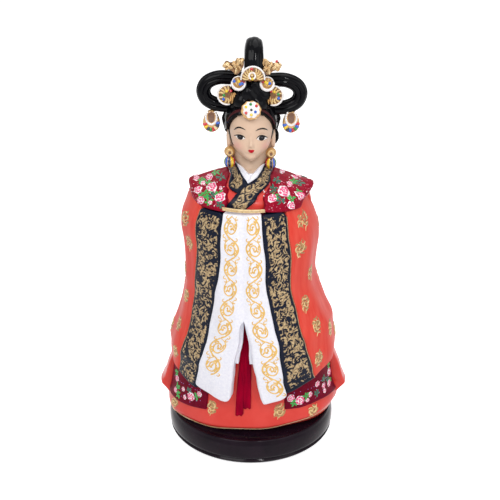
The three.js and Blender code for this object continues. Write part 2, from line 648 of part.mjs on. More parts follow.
// Rolled edge of the white cloths between the hands
const rollPath = [];
const rollLeft = edgeAt(CLOTH_LEFT_OUTER, CUFF_TOP) - ROLL_OVERHANG;
const rollRight = edgeAt(CLOTH_RIGHT_OUTER, CUFF_TOP) + ROLL_OVERHANG;
for (let i = 0; i <= 6; i += 1) {
  const turn = rollLeft + (rollRight - rollLeft) * i / 6;
  const point = sleeveSheet(turn, CUFF_TOP, 0);
  rollPath.push([point.x, point.y + ROLL_SINK, CUFF_TOP + CLEARANCE + ROLL_RADIUS + ROLL_RISE * (1 - i / 6)]);
}
const roll = braid(rollPath, ROLL_RADIUS, ROLL_RADIUS, 8, 12);
const rollGrown = braid(rollPath, ROLL_RADIUS + CLEARANCE, ROLL_RADIUS + CLEARANCE, 8, 12);
addPiece(figure, "hansam_roll", cut(roll, ...hangingGrown), "gold");

// Collars and shoulder panels, cut by their front outline from a shell round the chest
const shellOf = (sheet, levels, grow) => solidOf(loft(sheet, levels, ROUND, grow));
const chestLevels = TORSO_LEVELS.slice(1);
const chestAll = (grow) => shellOf(torsoSheet, chestLevels, grow);
const frontCut = (points) => outlineSolid(points, -FRONT_REACH, COLLAR_BACK - HEAD_FORWARD);
const neckRing = [neckGrown, torsoGrown];
const over = frontCut(COLLAR_OVER).intersect(chestAll(CLEARANCE + COLLAR_THICKNESS));
const overGrown = frontCut(COLLAR_OVER).intersect(chestAll(2 * CLEARANCE + COLLAR_THICKNESS));
const under = frontCut(COLLAR_UNDER).intersect(chestAll(CLEARANCE + COLLAR_THICKNESS));
const lining = frontCut(LINING).intersect(chestAll(CLEARANCE + LINING_THICKNESS));
addPiece(figure, "collar_right", cut(over, ...neckRing, ...hangingGrown, rollGrown), "navy");
addPiece(figure, "collar_left", cut(under, ...neckRing, overGrown), "navy");
addPiece(figure, "inner_collar", cut(lining, ...neckRing), "white");

const SHOULDER_LEVELS = SHOULDER.map((row) => row[0]);
const shoulderAll = shellOf(shoulderSheet, SHOULDER_LEVELS, 0);
for (const [side, points] of [["left", SHOULDER_LEFT], ["right", SHOULDER_RIGHT]]) {
  const raw = outlineSolid(points, -FRONT_REACH, FRONT_REACH).intersect(shoulderAll);
  const collars = [overGrown, chestAll(2 * CLEARANCE + COLLAR_THICKNESS).intersect(frontCut(COLLAR_UNDER))];
  const inner = [...neckRing, backGrown, rollGrown, ...hangingGrown, ...collars];
  addPiece(figure, `shoulder_panel_${side}`, cut(raw, ...inner), "crimson");
}

// Head with neck, nose and ears
const faceSheet = sheetOf(FACE);
const FACE_LEVELS = FACE.map((row) => row[0]);
const skull = (grow) => solidOf(loft(faceSheet, FACE_LEVELS, HEAD_ROUND, grow));
const ball = (place, radii, wide = 10, high = 6) => {
  const geometry = new THREE.SphereGeometry(1, wide, high);
  return solidOf(moved(geometry.rotateX(Math.PI / 2).scale(...radii), place));
};
const ears = (grow) => [-1, 1].map((side) => ball(
  [side * (EAR_REACH - EAR_THICKNESS), EAR_BACK, EAR_TOP - EAR_LENGTH / 2],
  [EAR_THICKNESS + grow, EAR_HALF_WIDTH + grow, EAR_LENGTH / 2 + grow],
));
const neck = neckAt(0);
const nose = ball([0, faceSheet(0, NOSE_HEIGHT).y, NOSE_HEIGHT], NOSE_RADII);
const headSolid = ears(0).reduce((all, ear) => all.add(ear), skull(0).add(neck).add(nose));
addPiece(head, "head", headSolid, "skin");

// Hair: a shell over the skull with an opening for the face and notches for the ears
const hairRows = FACE.slice(3).map(([height, middle, half, front, back]) => [
  height - 1 + (height > 12 ? HAIR_THICKNESS : 0), middle, half + HAIR_THICKNESS,
  front + HAIR_THICKNESS * 0.7, back + HAIR_THICKNESS,
]);
const hairSheet = sheetOf(hairRows);
const HAIR_LEVELS = hairRows.map((row) => row[0]);
const hairAll = (grow) => solidOf(loft(hairSheet, HAIR_LEVELS, HEAD_ROUND, grow));
const opening = new THREE.Shape();
opening.moveTo(-HAIRLINE_HALF_WIDTH, -4);
opening.lineTo(HAIRLINE_HALF_WIDTH, -4);
opening.lineTo(HAIRLINE_HALF_WIDTH, HAIRLINE_MIDDLE);
const hairlineHeight = HAIRLINE_TOP - HAIRLINE_MIDDLE;
opening.absellipse(0, HAIRLINE_MIDDLE, HAIRLINE_HALF_WIDTH, hairlineHeight, 0, Math.PI, false, 0);
const through = { depth: 22, bevelEnabled: false, curveSegments: 8 };
const faceCut = solidOf(new THREE.ExtrudeGeometry(opening, through).rotateX(Math.PI / 2));
const [notchWidth, notchDepth, notchHeight] = EAR_NOTCH;
const notch = new THREE.BoxGeometry(notchWidth, notchDepth, notchHeight);
const notchBottom = EAR_TOP + EAR_GAP - notchHeight;
const earCut = solidOf(notch.translate(0, EAR_NOTCH_BACK - notchDepth / 2, notchBottom + notchHeight / 2));
const hairCap = cut(hairAll(0), skull(CLEARANCE), neckAt(CLEARANCE), ...ears(CLEARANCE), faceCut, earCut);
addPiece(head, "hair_cap", hairCap, "hair");

function neckAt(grow) {
  return solidOf(loft(neckSheet, NECK_LEVELS, NECK_ROUND, grow));
}

const knotSheet = sheetOf(KNOT);
const KNOT_LEVELS = KNOT.map((row) => row[0]);
const knotAll = (grow) => solidOf(loft(knotSheet, KNOT_LEVELS, 18, grow));
const hairGrown = hairAll(CLEARANCE);
addPiece(head, "hair_knot", cut(knotAll(0), hairGrown), "hair");
const knotGrown = knotAll(CLEARANCE);
const loops = {
  left: [LOOP_LEFT_PATH, BRAID_HALF_WIDTH, BRAID_HALF_DEPTH],
  right: [LOOP_RIGHT_PATH, BRAID_HALF_WIDTH, BRAID_HALF_DEPTH],
  top: [LOOP_TOP_PATH, TOP_BRAID_HALF_WIDTH, TOP_BRAID_HALF_DEPTH],
};
const loopsGrown = [];
for (const [name, [path, halfWidth, halfDepth]] of Object.entries(loops)) {
  const loop = braid(path, halfWidth, halfDepth, 8, 18);
  addPiece(head, `hair_loop_${name}`, cut(loop, hairGrown, knotGrown, ...loopsGrown), "hair");
  loopsGrown.push(braid(path, halfWidth + CLEARANCE, halfDepth + CLEARANCE, 8, 18));
}
const bun = ball([0, hairSheet(180, BUN_HEIGHT).y + BUN_STAND_OUT, BUN_HEIGHT], BUN_RADII, 12, 8);
addPiece(head, "hair_bun", cut(bun, hairGrown), "hair");

// Dark red ribbon laid over the front hair on each side of the rosette
function ribbon(from, to) {
  const path = [];
  for (let i = 0; i <= 6; i += 1) {
    const turn = from + (to - from) * i / 6;
    const height = HAIRLINE_TOP + 3.1 - 5 * (turn / RIBBON_SPREAD) ** 2;
    path.push(hairSheet(turn, height, CLEARANCE + RIBBON_RADIUS * 0.6).toArray());
  }
  return braid(path, RIBBON_RADIUS, RIBBON_RADIUS, 6, 12);
}

// Ornaments stand on the hair, turned to face forward and up
function ornament(shape, place, thickness, spin = 0) {
  const options = { depth: thickness, bevelEnabled: false, curveSegments: ORNAMENT_SEGMENTS };
  const geometry = new THREE.ExtrudeGeometry(shape, options);
  geometry.rotateZ(spin).rotateX(Math.PI / 2 + ORNAMENT_TILT * DEG);
  return solidOf(moved(geometry, place));
}

function fanShape(radius, chord) {
  const shape = new THREE.Shape();
  const start = Math.asin(-chord / radius);
  shape.absarc(0, 0, radius, start, Math.PI - start, false);
  shape.closePath();
  return shape;
}

function scallopShape(radius, count, bite) {
  const shape = new THREE.Shape();
  for (let i = 0; i < count * 4; i += 1) {
    const turn = i * 2 * Math.PI / (count * 4);
    const size = radius - bite * (i % 4 === 0 ? 1 : 0);
    if (i === 0) shape.moveTo(size, 0);
    else shape.lineTo(size * Math.cos(turn), size * Math.sin(turn));
  }
  shape.closePath();
  return shape;
}

function crescentShape(radius) {
  const shape = new THREE.Shape();
  shape.absarc(0, 0, radius, Math.PI * 0.9, Math.PI * 2.1, false);
  shape.absarc(0, radius * 0.55, radius * 0.62, Math.PI * 2.05, Math.PI * 0.95, true);
  shape.closePath();
  return shape;
}

function butterflyShape(span, side) {
  const s = span / 10;
  const points = [[0, -4.6], [2, -2.6], [4.6, -1.6], [4.2, 0.6], [5, 2.6], [3.2, 3.4], [1.6, 2.2], [0.8, 3.8],
    [-1, 4], [-1.8, 2.4], [-3.6, 4.4], [-5, 3], [-4.4, 0.8], [-3.4, -1.4], [-1.6, -2.4]];
  return new THREE.Shape(points.map(([x, y]) => new THREE.Vector2(-side * x * s, y * s)));
}

const collarsGrown = [COLLAR_UNDER, COLLAR_OVER].map((points) => (
  chestAll(2 * CLEARANCE + COLLAR_THICKNESS).intersect(frontCut(points))
    .translate([0, HEAD_FORWARD, -CHIN_HEIGHT])
));
const hairParts = [hairGrown, knotGrown, ...loopsGrown];
const scallops = scallopShape(ROSETTE_RADIUS, ROSETTE_PETALS, ROSETTE_BITE);
const rosette = ornament(scallops, ROSETTE_PLACE, ROSETTE_THICKNESS);
const fanTop = ornament(fanShape(FAN_TOP_RADIUS, FAN_TOP_CHORD), FAN_TOP_PLACE, FAN_TOP_THICKNESS);
const ornaments = { forehead_rosette: [rosette, "white"], fan_top: [fanTop, "gold"] };
["left", "right"].forEach((side, k) => {
  const turn = k === 0 ? 1 : -1;
  const moon = crescentShape(CRESCENT_RADIUS);
  const crescent = ornament(moon, CRESCENT_PLACES[k], CRESCENT_THICKNESS, turn * CRESCENT_SPIN);
  const fan = ornament(fanShape(FAN_RADIUS, FAN_CHORD), FAN_PLACES[k], FAN_THICKNESS, turn * FAN_SPIN);
  const butterfly = ornament(butterflyShape(BUTTERFLY_SPAN, turn), BUTTERFLY_PLACES[k], BUTTERFLY_THICKNESS);
  ornaments[`crescent_${side}`] = [crescent, "white"];
  ornaments[`side_fan_${side}`] = [fan, "gold"];
  ornaments[`butterfly_${side}`] = [butterfly, "gold"];
});
const set = [];
for (const [name, [solid, finishName]] of Object.entries(ornaments)) {
  addPiece(head, name, cut(solid, ...hairParts, ...set), finishName);
  set.push(solid.add(solid.translate([CLEARANCE, 0, 0])).add(solid.translate([-CLEARANCE, 0, 0]))
    .add(solid.translate([0, 0, CLEARANCE])).add(solid.translate([0, 0, -CLEARANCE])));
}
const ribbons = { left: [-RIBBON_SPREAD, -RIBBON_START], right: [RIBBON_START, RIBBON_SPREAD] };
for (const [side, ends] of Object.entries(ribbons)) {
  addPiece(head, `hair_ribbon_${side}`, cut(ribbon(...ends), hairGrown, knotGrown, ...set), "ribbon");
}

// Teardrop pendants under the side loops and striped earrings under the ears
["left", "right"].forEach((side, k) => {
  const drop = new THREE.Shape();
  drop.absarc(0, 0, PENDANT_RADIUS, Math.PI * 0.9, Math.PI * 2.1, false);
  drop.lineTo(PENDANT_RADIUS * 0.62, PENDANT_RADIUS * 1.35);
  drop.lineTo(-PENDANT_RADIUS * 0.62, PENDANT_RADIUS * 1.35);
  drop.closePath();
  const blank = new THREE.ExtrudeGeometry(drop, {
    depth: PENDANT_THICKNESS - 2 * PENDANT_BEVEL, bevelEnabled: true, bevelThickness: PENDANT_BEVEL,
    bevelSize: PENDANT_BEVEL, bevelSegments: 1, bevelOffset: -PENDANT_BEVEL, curveSegments: 8,
  });
  blank.rotateX(Math.PI / 2).translate(0, PENDANT_THICKNESS / 2 - PENDANT_BEVEL, 0);
  const pendant = solidOf(moved(blank, PENDANT_PLACES[k]));
  addPiece(head, `loop_pendant_${side}`, cut(pendant, ...loopsGrown), "gold");
  const [x, y, z] = EARRING_PLACES[k];
  const beadZ = z - EARRING_RADIUS - EARRING_BEAD_RADIUS * BEAD_NESTING;
  const round = (height, radius) => ball([x, y, height], [radius, radius, radius]);
  const ring = round(z, EARRING_RADIUS);
  const bead = round(beadZ, EARRING_BEAD_RADIUS);
  const ringGrown = round(z, EARRING_RADIUS + CLEARANCE);
  const clear = [skull(CLEARANCE), ...ears(CLEARANCE), hairGrown, ...collarsGrown];
  addPiece(head, `earring_ring_${side}`, cut(ring, ...clear), "gold");
  addPiece(head, `earring_bead_${side}`, cut(bead, ...clear, ringGrown), "navy");
});

export default doll;
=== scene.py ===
import bpy
import numpy as np
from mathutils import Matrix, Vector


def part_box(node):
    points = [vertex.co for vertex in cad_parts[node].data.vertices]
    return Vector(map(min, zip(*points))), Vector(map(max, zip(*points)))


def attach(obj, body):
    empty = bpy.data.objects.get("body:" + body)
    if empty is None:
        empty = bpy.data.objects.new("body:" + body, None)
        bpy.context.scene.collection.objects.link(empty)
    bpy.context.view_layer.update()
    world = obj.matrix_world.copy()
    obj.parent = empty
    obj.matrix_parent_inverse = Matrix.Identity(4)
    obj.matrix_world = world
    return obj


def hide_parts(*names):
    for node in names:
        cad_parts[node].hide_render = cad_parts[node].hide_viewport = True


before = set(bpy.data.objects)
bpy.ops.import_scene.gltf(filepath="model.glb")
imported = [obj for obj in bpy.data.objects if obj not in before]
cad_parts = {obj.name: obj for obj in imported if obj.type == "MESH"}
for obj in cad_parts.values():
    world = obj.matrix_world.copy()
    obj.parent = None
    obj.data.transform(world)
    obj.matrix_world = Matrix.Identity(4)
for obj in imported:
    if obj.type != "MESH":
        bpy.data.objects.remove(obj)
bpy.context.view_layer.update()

# The turned base. A disc of hardwood, sprayed with gloss black lacquer that pools a little in the
# groove round its foot; a felt sole is glued under it and two zinc plated screws hold the figure.

MM = 0.001
BASE_RADIUS = 42.0
# Angle from which an edge between two faces is drawn sharp
CREASE = 40.0
# Inset from the radius and height above the table, from the foot up over the bead to the floor of the top
BASE_PROFILE = [
    [1.8, 1.0], [1.55, 1.25], [1.0, 1.75], [0.55, 2.2], [0.42, 2.6], [0.62, 2.95], [1.0, 3.3], [1.25, 3.6],
    [1.2, 3.8], [0.8, 4.0], [0.4, 4.3], [0.12, 4.9], [0.02, 5.6], [0.0, 6.6], [0.0, 8.2], [0.05, 9.0],
    [0.2, 10.2], [0.45, 11.3], [0.8, 12.2], [1.1, 12.9], [1.2, 13.35], [1.36, 13.66], [1.65, 13.8],
    [2.2, 13.8], [2.6, 13.68], [2.95, 13.4], [3.1, 13.2], [6.0, 13.2], [20.0, 13.2], [36.0, 13.2],
]


def linear(colour):
    """Linear RGBA of an sRGB hex colour, by the sRGB curve."""
    value = np.array([int(colour[i:i + 2], 16) for i in (1, 3, 5)]) / 255
    curve = np.where(value <= 0.04045, value / 12.92, ((value + 0.055) / 1.055) ** 2.4)
    return [*curve, 1.0]


def add_node(tree, kind, settings=None, **sockets):
    """A node with its settings. A socket's value is a number or colour, or the output that is linked to it;
    an underscore in its name stands for a space, and the names _0, _1 ... are sockets by number."""
    made = tree.nodes.new(kind)
    for key, value in (settings or {}).items():
        setattr(made, key, value)
    for key, value in sockets.items():
        target = made.inputs[int(key[1:])] if key[1:].isdigit() else made.inputs[key.replace("_", " ")]
        if isinstance(value, bpy.types.NodeSocket):
            tree.links.new(value, target)
        else:
            target.default_value = value
    return made


def blend(tree, factor, first, second):
    """Colour between two others: first (1 - factor) + second factor."""
    mixed = add_node(tree, "ShaderNodeMix", {"data_type": "RGBA"}, Factor=factor, _6=first, _7=second)
    return mixed.outputs[2]


def painted(name, colour, shade, roughness, patch=6.0, stretch=1.0, grain=0.5, relief=0.03, specks=None,
            marked=None, **sockets):
    """A finish of two close colours in patches of a size in millimetres, drawn out upwards by stretch, with
    fine brush grain as a bump. specks are (colour, spacing, share) of scattered dots of another colour;
    marked is (attribute, colour, shade, roughness, metallic) of a second paint where an attribute of the
    mesh says so."""
    material = bpy.data.materials.new(name)
    material.use_nodes = True
    tree = material.node_tree
    shader = tree.nodes["Principled BSDF"]
    place = add_node(tree, "ShaderNodeTexCoord").outputs["Object"]
    drawn = add_node(tree, "ShaderNodeMapping", Vector=place, Scale=(1, 1, 1 / stretch)).outputs[0]
    cloud = add_node(tree, "ShaderNodeTexNoise", Vector=drawn, Scale=1 / (patch * MM), Detail=5.0,
                     Roughness=0.6)
    spread = add_node(tree, "ShaderNodeMapRange", Value=cloud.outputs["Fac"], From_Min=0.3, From_Max=0.7)
    tone = blend(tree, spread.outputs[0], linear(colour), linear(shade))
    if specks:
        dots = add_node(tree, "ShaderNodeTexVoronoi", Vector=place, Scale=1 / (specks[1] * MM))
        inside = add_node(tree, "ShaderNodeMapRange", Value=dots.outputs["Distance"], From_Min=specks[2],
                          From_Max=specks[2] * 0.6)
        tone = blend(tree, inside.outputs[0], tone, linear(specks[0]))
    shader.inputs["Roughness"].default_value = roughness
    if marked:
        mark = add_node(tree, "ShaderNodeAttribute", {"attribute_name": marked[0]}).outputs["Fac"]
        second = blend(tree, spread.outputs[0], linear(marked[1]), linear(marked[2]))
        tone = blend(tree, mark, tone, second)
        for socket, values in (("Roughness", (roughness, marked[3])), ("Metallic", (0.0, marked[4]))):
            level = add_node(tree, "ShaderNodeMix", Factor=mark, _2=values[0], _3=values[1])
            tree.links.new(level.outputs[0], shader.inputs[socket])
    tree.links.new(tone, shader.inputs["Base Color"])
    brush = add_node(tree, "ShaderNodeTexNoise", Vector=drawn, Scale=1 / (grain * MM), Detail=3.0)
    bump = add_node(tree, "ShaderNodeBump", Height=brush.outputs["Fac"], Distance=relief * MM, Strength=0.6)
    tree.links.new(bump.outputs["Normal"], shader.inputs["Normal"])
    for key, value in sockets.items():
        shader.inputs[key.replace("_", " ")].default_value = value
    return material


def outward(points, faces):
    """A closed body with its faces turned to the outside: all are reversed where its signed volume, the sum
    of a . (b x c) over its faces, is below zero."""
    a, b, c = (points[faces[:, k]] for k in range(3))
    fourth = points[np.where(faces[:, 3] < 0, faces[:, 2], faces[:, 3])]
    volume = (a * (np.cross(b, c) + np.cross(c, fourth))).sum()
    if volume < 0:
        quads = faces[:, 3] >= 0
        faces = np.where(quads[:, None], faces[:, ::-1], faces[:, [2, 1, 0, 3]])
    return points, faces


def ring_solid(rings):
    """Closed body of k rings of n points: quads between neighbouring rings, and a fan from each end ring to
    its mean point. A face of three points has -1 as its fourth."""
    count, around = rings.shape[:2]
    points = np.vstack([rings.reshape(-1, 3), rings[0].mean(0)[None], rings[-1].mean(0)[None]])
    here = np.arange(around)
    after = (here + 1) % around
    row = np.arange(count - 1)[:, None] * around
    quads = np.stack([row + here, row + after, row + around + after, row + around + here], -1)
    none = np.full(around, -1)
    last = (count - 1) * around
    low = np.stack([none + 1 + count * around, after, here, none], -1)
    high = np.stack([none + 2 + count * around, last + here, last + after, none], -1)
    return outward(points, np.vstack([quads.reshape(-1, 4), low, high]))


def new_piece(name, coats, replaced=(), marks=None):
    """Mesh object at the origin from coats, pairs of a body in millimetres and its material; it rides on
    root and stands for the replaced nodes. marks are values of its points by name."""
    mesh = bpy.data.meshes.new(name)
    materials = []
    points, faces, index = [], [], []
    count = 0
    for (body_points, body_faces), material in coats:
        if material not in materials:
            materials.append(material)
            mesh.materials.append(material)
        points.append(body_points)
        faces.append(np.where(body_faces < 0, -1, body_faces + count))
        index.append(np.full(len(body_faces), materials.index(material)))
        count += len(body_points)
    points, faces, index = np.vstack(points), np.vstack(faces), np.hstack(index)
    sizes = (faces >= 0).sum(1)
    mesh.vertices.add(len(points))
    mesh.vertices.foreach_set("co", (points * MM).ravel())
    mesh.loops.add(int(sizes.sum()))
    mesh.loops.foreach_set("vertex_index", faces[faces >= 0])
    mesh.polygons.add(len(faces))
    mesh.polygons.foreach_set("loop_start", np.cumsum(sizes) - sizes)
    mesh.polygons.foreach_set("material_index", index)
    mesh.update(calc_edges=True)
    mesh.polygons.foreach_set("use_smooth", np.ones(len(faces), bool))
    mesh.set_sharp_from_angle(angle=np.radians(CREASE))
    for key, value in (marks or {}).items():
        mark = mesh.attributes.new(key, "FLOAT", "POINT")
        mark.data.foreach_set("value", np.ravel(value).astype(np.float32))
    piece = bpy.data.objects.new(name, mesh)
    bpy.context.scene.collection.objects.link(piece)
    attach(piece, "root")
    if replaced:
        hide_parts(*replaced)


def stand_in(node, coats, how="painted", marks=None):
    """New piece that takes the place of one node, and is named after the node and how it is finished."""
    new_piece(f"{node}_{how}", coats, [node], marks)


def turned(profile, around):
    """Body turned round the upright axis: a ring of radius r at height z for each row (r, z) of a
    profile."""
    radius, height = np.array(profile, float).T[:, :, None]
    turn = np.arange(around) * 2 * np.pi / around
    return ring_solid(np.stack([radius * np.cos(turn), radius * np.sin(turn), height + 0 * turn], -1))


# Lacquer levels as it dries and mirrors the lights; the turned wood under it shows as a slow waver
lacquer = painted("gloss black lacquer on turned wood", "#120A13", "#20131E", 0.1, patch=9.0, grain=2.5,
                  relief=0.05, Specular_IOR_Level=0.1)
base_profile = [[BASE_RADIUS - inset, height] for inset, height in BASE_PROFILE]
new_piece("lacquered_base", [(turned(base_profile, 180), lacquer)], ["base_plinth"])
# Loose fibres scatter the light, so that felt has no gloss
felt = painted("black needled felt", "#141416", "#232326", 0.95, patch=2.0, grain=0.3, relief=0.2)
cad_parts["base_felt"].data.materials[0] = felt
# Zinc plating is a light grey metal with a soft gloss
zinc = painted("zinc plated steel", "#A9A9AC", "#8F9094", 0.32, patch=1.0, grain=0.2, relief=0.01,
               Metallic=1.0)
for side in ("left", "right"):
    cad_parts[f"base_screw_{side}"].data.materials[0] = zinc

# The skirt and the body of the robe. Cast in cream resin and brushed with coral red and a satin varnish;
# the skirt flares to a rolled hem that stands on the base, where the resin shows as a thin line along its
# lip.

BASE_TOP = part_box("skirt")[0].z / MM
WAIST = 97.0
HEM_TILT = 2.1
# Height above the base, sideways offset of the middle, half width, depth in front and depth behind
FIGURE = [
    [0.0, 0.0, 38.0, 29.0, 28.6], [1.4, 0.4, 41.2, 31.2, 30.6], [2.9, 0.7, 42.7, 33.4, 32.4],
    [4.2, 0.8, 43.2, 34.3, 33.0], [6.0, 0.9, 43.3, 33.8, 32.8], [9.0, 0.8, 42.3, 33.0, 32.0],
    [13.0, 0.6, 40.8, 32.2, 31.4], [25.0, 0.8, 38.8, 31.0, 30.0], [45.0, 1.0, 35.5, 29.0, 27.5],
    [65.0, 0.8, 30.5, 27.0, 24.5], [85.0, 0.0, 27.7, 25.5, 21.5], [WAIST, 0.0, 27.3, 25.0, 20.6],
    [110.0, -0.3, 27.1, 25.0, 19.6], [115.0, -0.5, 26.2, 26.1, 17.6], [117.6, -0.6, 25.2, 25.0, 14.6],
    [119.6, -1.2, 22.8, 23.0, 11.2], [121.0, -1.1, 20.0, 21.5, 9.2], [122.4, -0.7, 16.4, 19.4, 8.2],
    [124.0, -0.2, 11.0, 17.0, 7.8], [126.5, 0.0, 8.7, 14.2, 7.5], [128.0, 0.0, 7.6, 9.5, 7.0],
]
BODY_TOP = 125.5


def through(rows, at):
    """Columns of a table read at values of its first one, by the cubic through its rows whose slope at a
    row is that of the chord between its neighbours."""
    rows = np.array(rows, float)
    key = rows[:, 0]
    at = np.clip(np.asarray(at, float), key[0], key[-1])
    last = len(rows) - 1
    before, after = np.maximum(np.arange(last + 1) - 1, 0), np.minimum(np.arange(last + 1) + 1, last)
    slope = (rows[after] - rows[before]) / (key[after] - key[before])[:, None]
    k = np.clip(np.searchsorted(key, at, side="right") - 1, 0, last - 1)
    span = (key[k + 1] - key[k])[..., None]
    t = (at - key[k])[..., None] / span
    found = ((2 * t ** 3 - 3 * t ** 2 + 1) * rows[k] + (t ** 3 - 2 * t ** 2 + t) * span * slope[k]
             + (3 * t ** 2 - 2 * t ** 3) * rows[k + 1] + (t ** 3 - t ** 2) * span * slope[k + 1])
    return found[..., 1:]


def sheet_of(rows, relief=None, tilt=0.0, origin=(0.0, 0.0, BASE_TOP)):
    """Surface of a turn in degrees from the front and a height: an oval of the table's half width and depth
    at that height, moved out along its normal by lift and by relief(turn, height). tilt lowers the hem's
    left."""
    def bare(turn, height):
        """Place on the plain oval: (middle + half width sin turn, -depth cos turn, height)."""
        middle, half, front, back = np.moveaxis(through(rows, height), -1, 0)
        angle = np.radians(turn)
        x = middle + half * np.sin(angle)
        y = -np.where(np.cos(angle) > 0, front, back) * np.cos(angle)
        fade = np.where(height > 2, np.clip(1 - (height - 2) / 24, 0, 1), 0)
        fade = fade * np.clip(3 * np.cos(angle), 0, 1)
        return np.stack([x, y, height + tilt * fade * x / BASE_RADIUS], -1) + np.array(origin)

    def at(turn, height, lift=0.0):
        """Place out of the plain oval by lift and relief, along the cross product of its two slopes."""
        turn, height = np.broadcast_arrays(np.asarray(turn, float), np.asarray(height, float))
        sideways = bare(turn + 0.5, height) - bare(turn - 0.5, height)
        upward = bare(turn, height + 0.2) - bare(turn, height - 0.2)
        normal = np.cross(sideways, upward)
        normal /= np.linalg.norm(normal, axis=-1, keepdims=True)
        rise = lift + (relief(turn, height) if relief else 0.0)
        return bare(turn, height) + normal * np.broadcast_to(rise, turn.shape)[..., None]
    return at


def loft(sheet, heights, turns):
    """Closed body of whole rings of a sheet at rising heights, at a number of even turns or at given
    ones."""
    turn = np.arange(turns) * 360 / turns if np.isscalar(turns) else np.array(turns)
    return ring_solid(sheet(turn[None, :], np.array(heights, float)[:, None]))


def skirt_folds(turn, height):
    """Soft pleats of the skirt: waves along the turn, 0.25 mm high at the hem and fading upwards."""
    wander = 20 * np.sin(np.radians(turn * 3))
    return 0.25 * np.clip(1 - height / 60, 0, 1) * np.sin(np.radians(turn * 9 + wander))


# Brushed paint under satin varnish: a soft sheen, and broad patches where the coat is thicker
coral = painted("coral paint, satin varnish", "#D4342A", "#DE473D", 0.3, patch=14.0, grain=0.7, relief=0.05,
                Specular_IOR_Level=0.28)
skirt_sheet = sheet_of(FIGURE, skirt_folds, HEM_TILT)
skirt_heights = [0, 0.5, 1.1, 1.8, 2.5, 3.1, 3.7, 4.3, 5, *np.linspace(6, WAIST, 60)]
skirt = loft(skirt_sheet, skirt_heights, 240)


def bead(at, path, width, height, taper=0.5, sink=0.15):
    """Half round line of paint along a path (a, b) on a surface: seven points over its width and two sunk
    ones at each station; its size runs out at the ends as the sine of the way along to the power taper."""
    path = np.array(path, float)
    tangent = np.gradient(path, axis=0)
    tangent /= np.linalg.norm(tangent, axis=1, keepdims=True)
    size = np.sin(np.pi * np.linspace(0.01, 0.99, len(path)))[:, None] ** taper
    angle = np.radians([0, 30, 60, 90, 120, 150, 180])
    across = 0.5 * width * size * np.concatenate([np.cos(angle), [-0.8, 0.8]])
    lift = np.concatenate([height * size * np.sin(angle), np.full((len(path), 2), -sink)], 1)
    a = path[:, :1] - tangent[:, 1:] * across
    b = path[:, 1:] + tangent[:, :1] * across
    return ring_solid(at(a, b, lift))


# Bare resin is pale and a little yellow where the paint has worn off
cream = painted("cream resin at a worn edge", "#FBE3BC", "#F4C48C", 0.4)
lip = bead(skirt_sheet, np.column_stack([np.linspace(-179, 179, 360), np.full(360, 2.3)]), 0.55, 0.3, 0.02)
new_piece("skirt_casting", [(skirt, coral), (lip, cream)], ["skirt"])
robe = loft(sheet_of(FIGURE), np.linspace(WAIST, BODY_TOP, 50), 120)
new_piece("robe_casting", [(robe, coral)], ["robe_body"])

# The back of the robe. A long panel cast with soft upright folds, open at both sides from the sleeves down,
# in the same coral paint; it stands off the skirt by the thickness of the cloth that it copies.

SIDE_SLIT = 80.0
BACK_PANEL = [
    [5.5, 0.6, 42.3, 33.0, 33.5], [8.6, 1.0, 44.6, 33.6, 34.8], [11.6, 1.2, 47.1, 34.0, 35.6],
    [12.8, 1.2, 47.2, 34.0, 35.8], [14.5, 1.3, 46.0, 34.0, 35.7], [17.5, 1.4, 45.0, 33.8, 35.4],
    [23.3, 1.4, 43.2, 33.0, 34.6], [27.0, 1.4, 41.6, 32.6, 33.8], [32.0, 1.0, 40.2, 32.0, 32.6],
    [45.0, 1.0, 37.4, 30.6, 30.0], [65.0, 0.8, 32.4, 28.6, 26.8], [85.0, 0.0, 29.5, 27.0, 24.0],
    [97.0, 0.0, 29.1, 26.6, 23.0], [110.0, -0.3, 28.8, 26.6, 21.6], [114.0, -0.5, 27.9, 26.6, 19.8],
    [117.0, -0.6, 26.8, 25.0, 16.8],
]
BACK_LOW, BACK_HIGH = 5.8, 116.5
# Usual distance of a panel from the axis, height of a stamped figure, and the radius of the edges above and
# below where the two sides have their own
PANEL_REACH = 33.0
FIGURE_RISE = 0.12
PLAIN_EDGE = 1.0


def edge_at(points, at):
    """A border that is one value all along, or a list of places and values read in straight lines."""
    if np.isscalar(points):
        return np.full(np.shape(at), float(points))
    return np.interp(at, *np.array(points, float).T)


def stations(size, edge, step):
    """Fractions of a size, a step apart, and closer at both ends where the edge is rounded."""
    near = edge * np.array([0.0, 0.1, 0.3, 0.6, 1.0])
    middle = np.linspace(edge, size - edge, max(4, round(size / step)))[1:-1]
    return np.concatenate([near, middle, size - near[::-1]]) / size


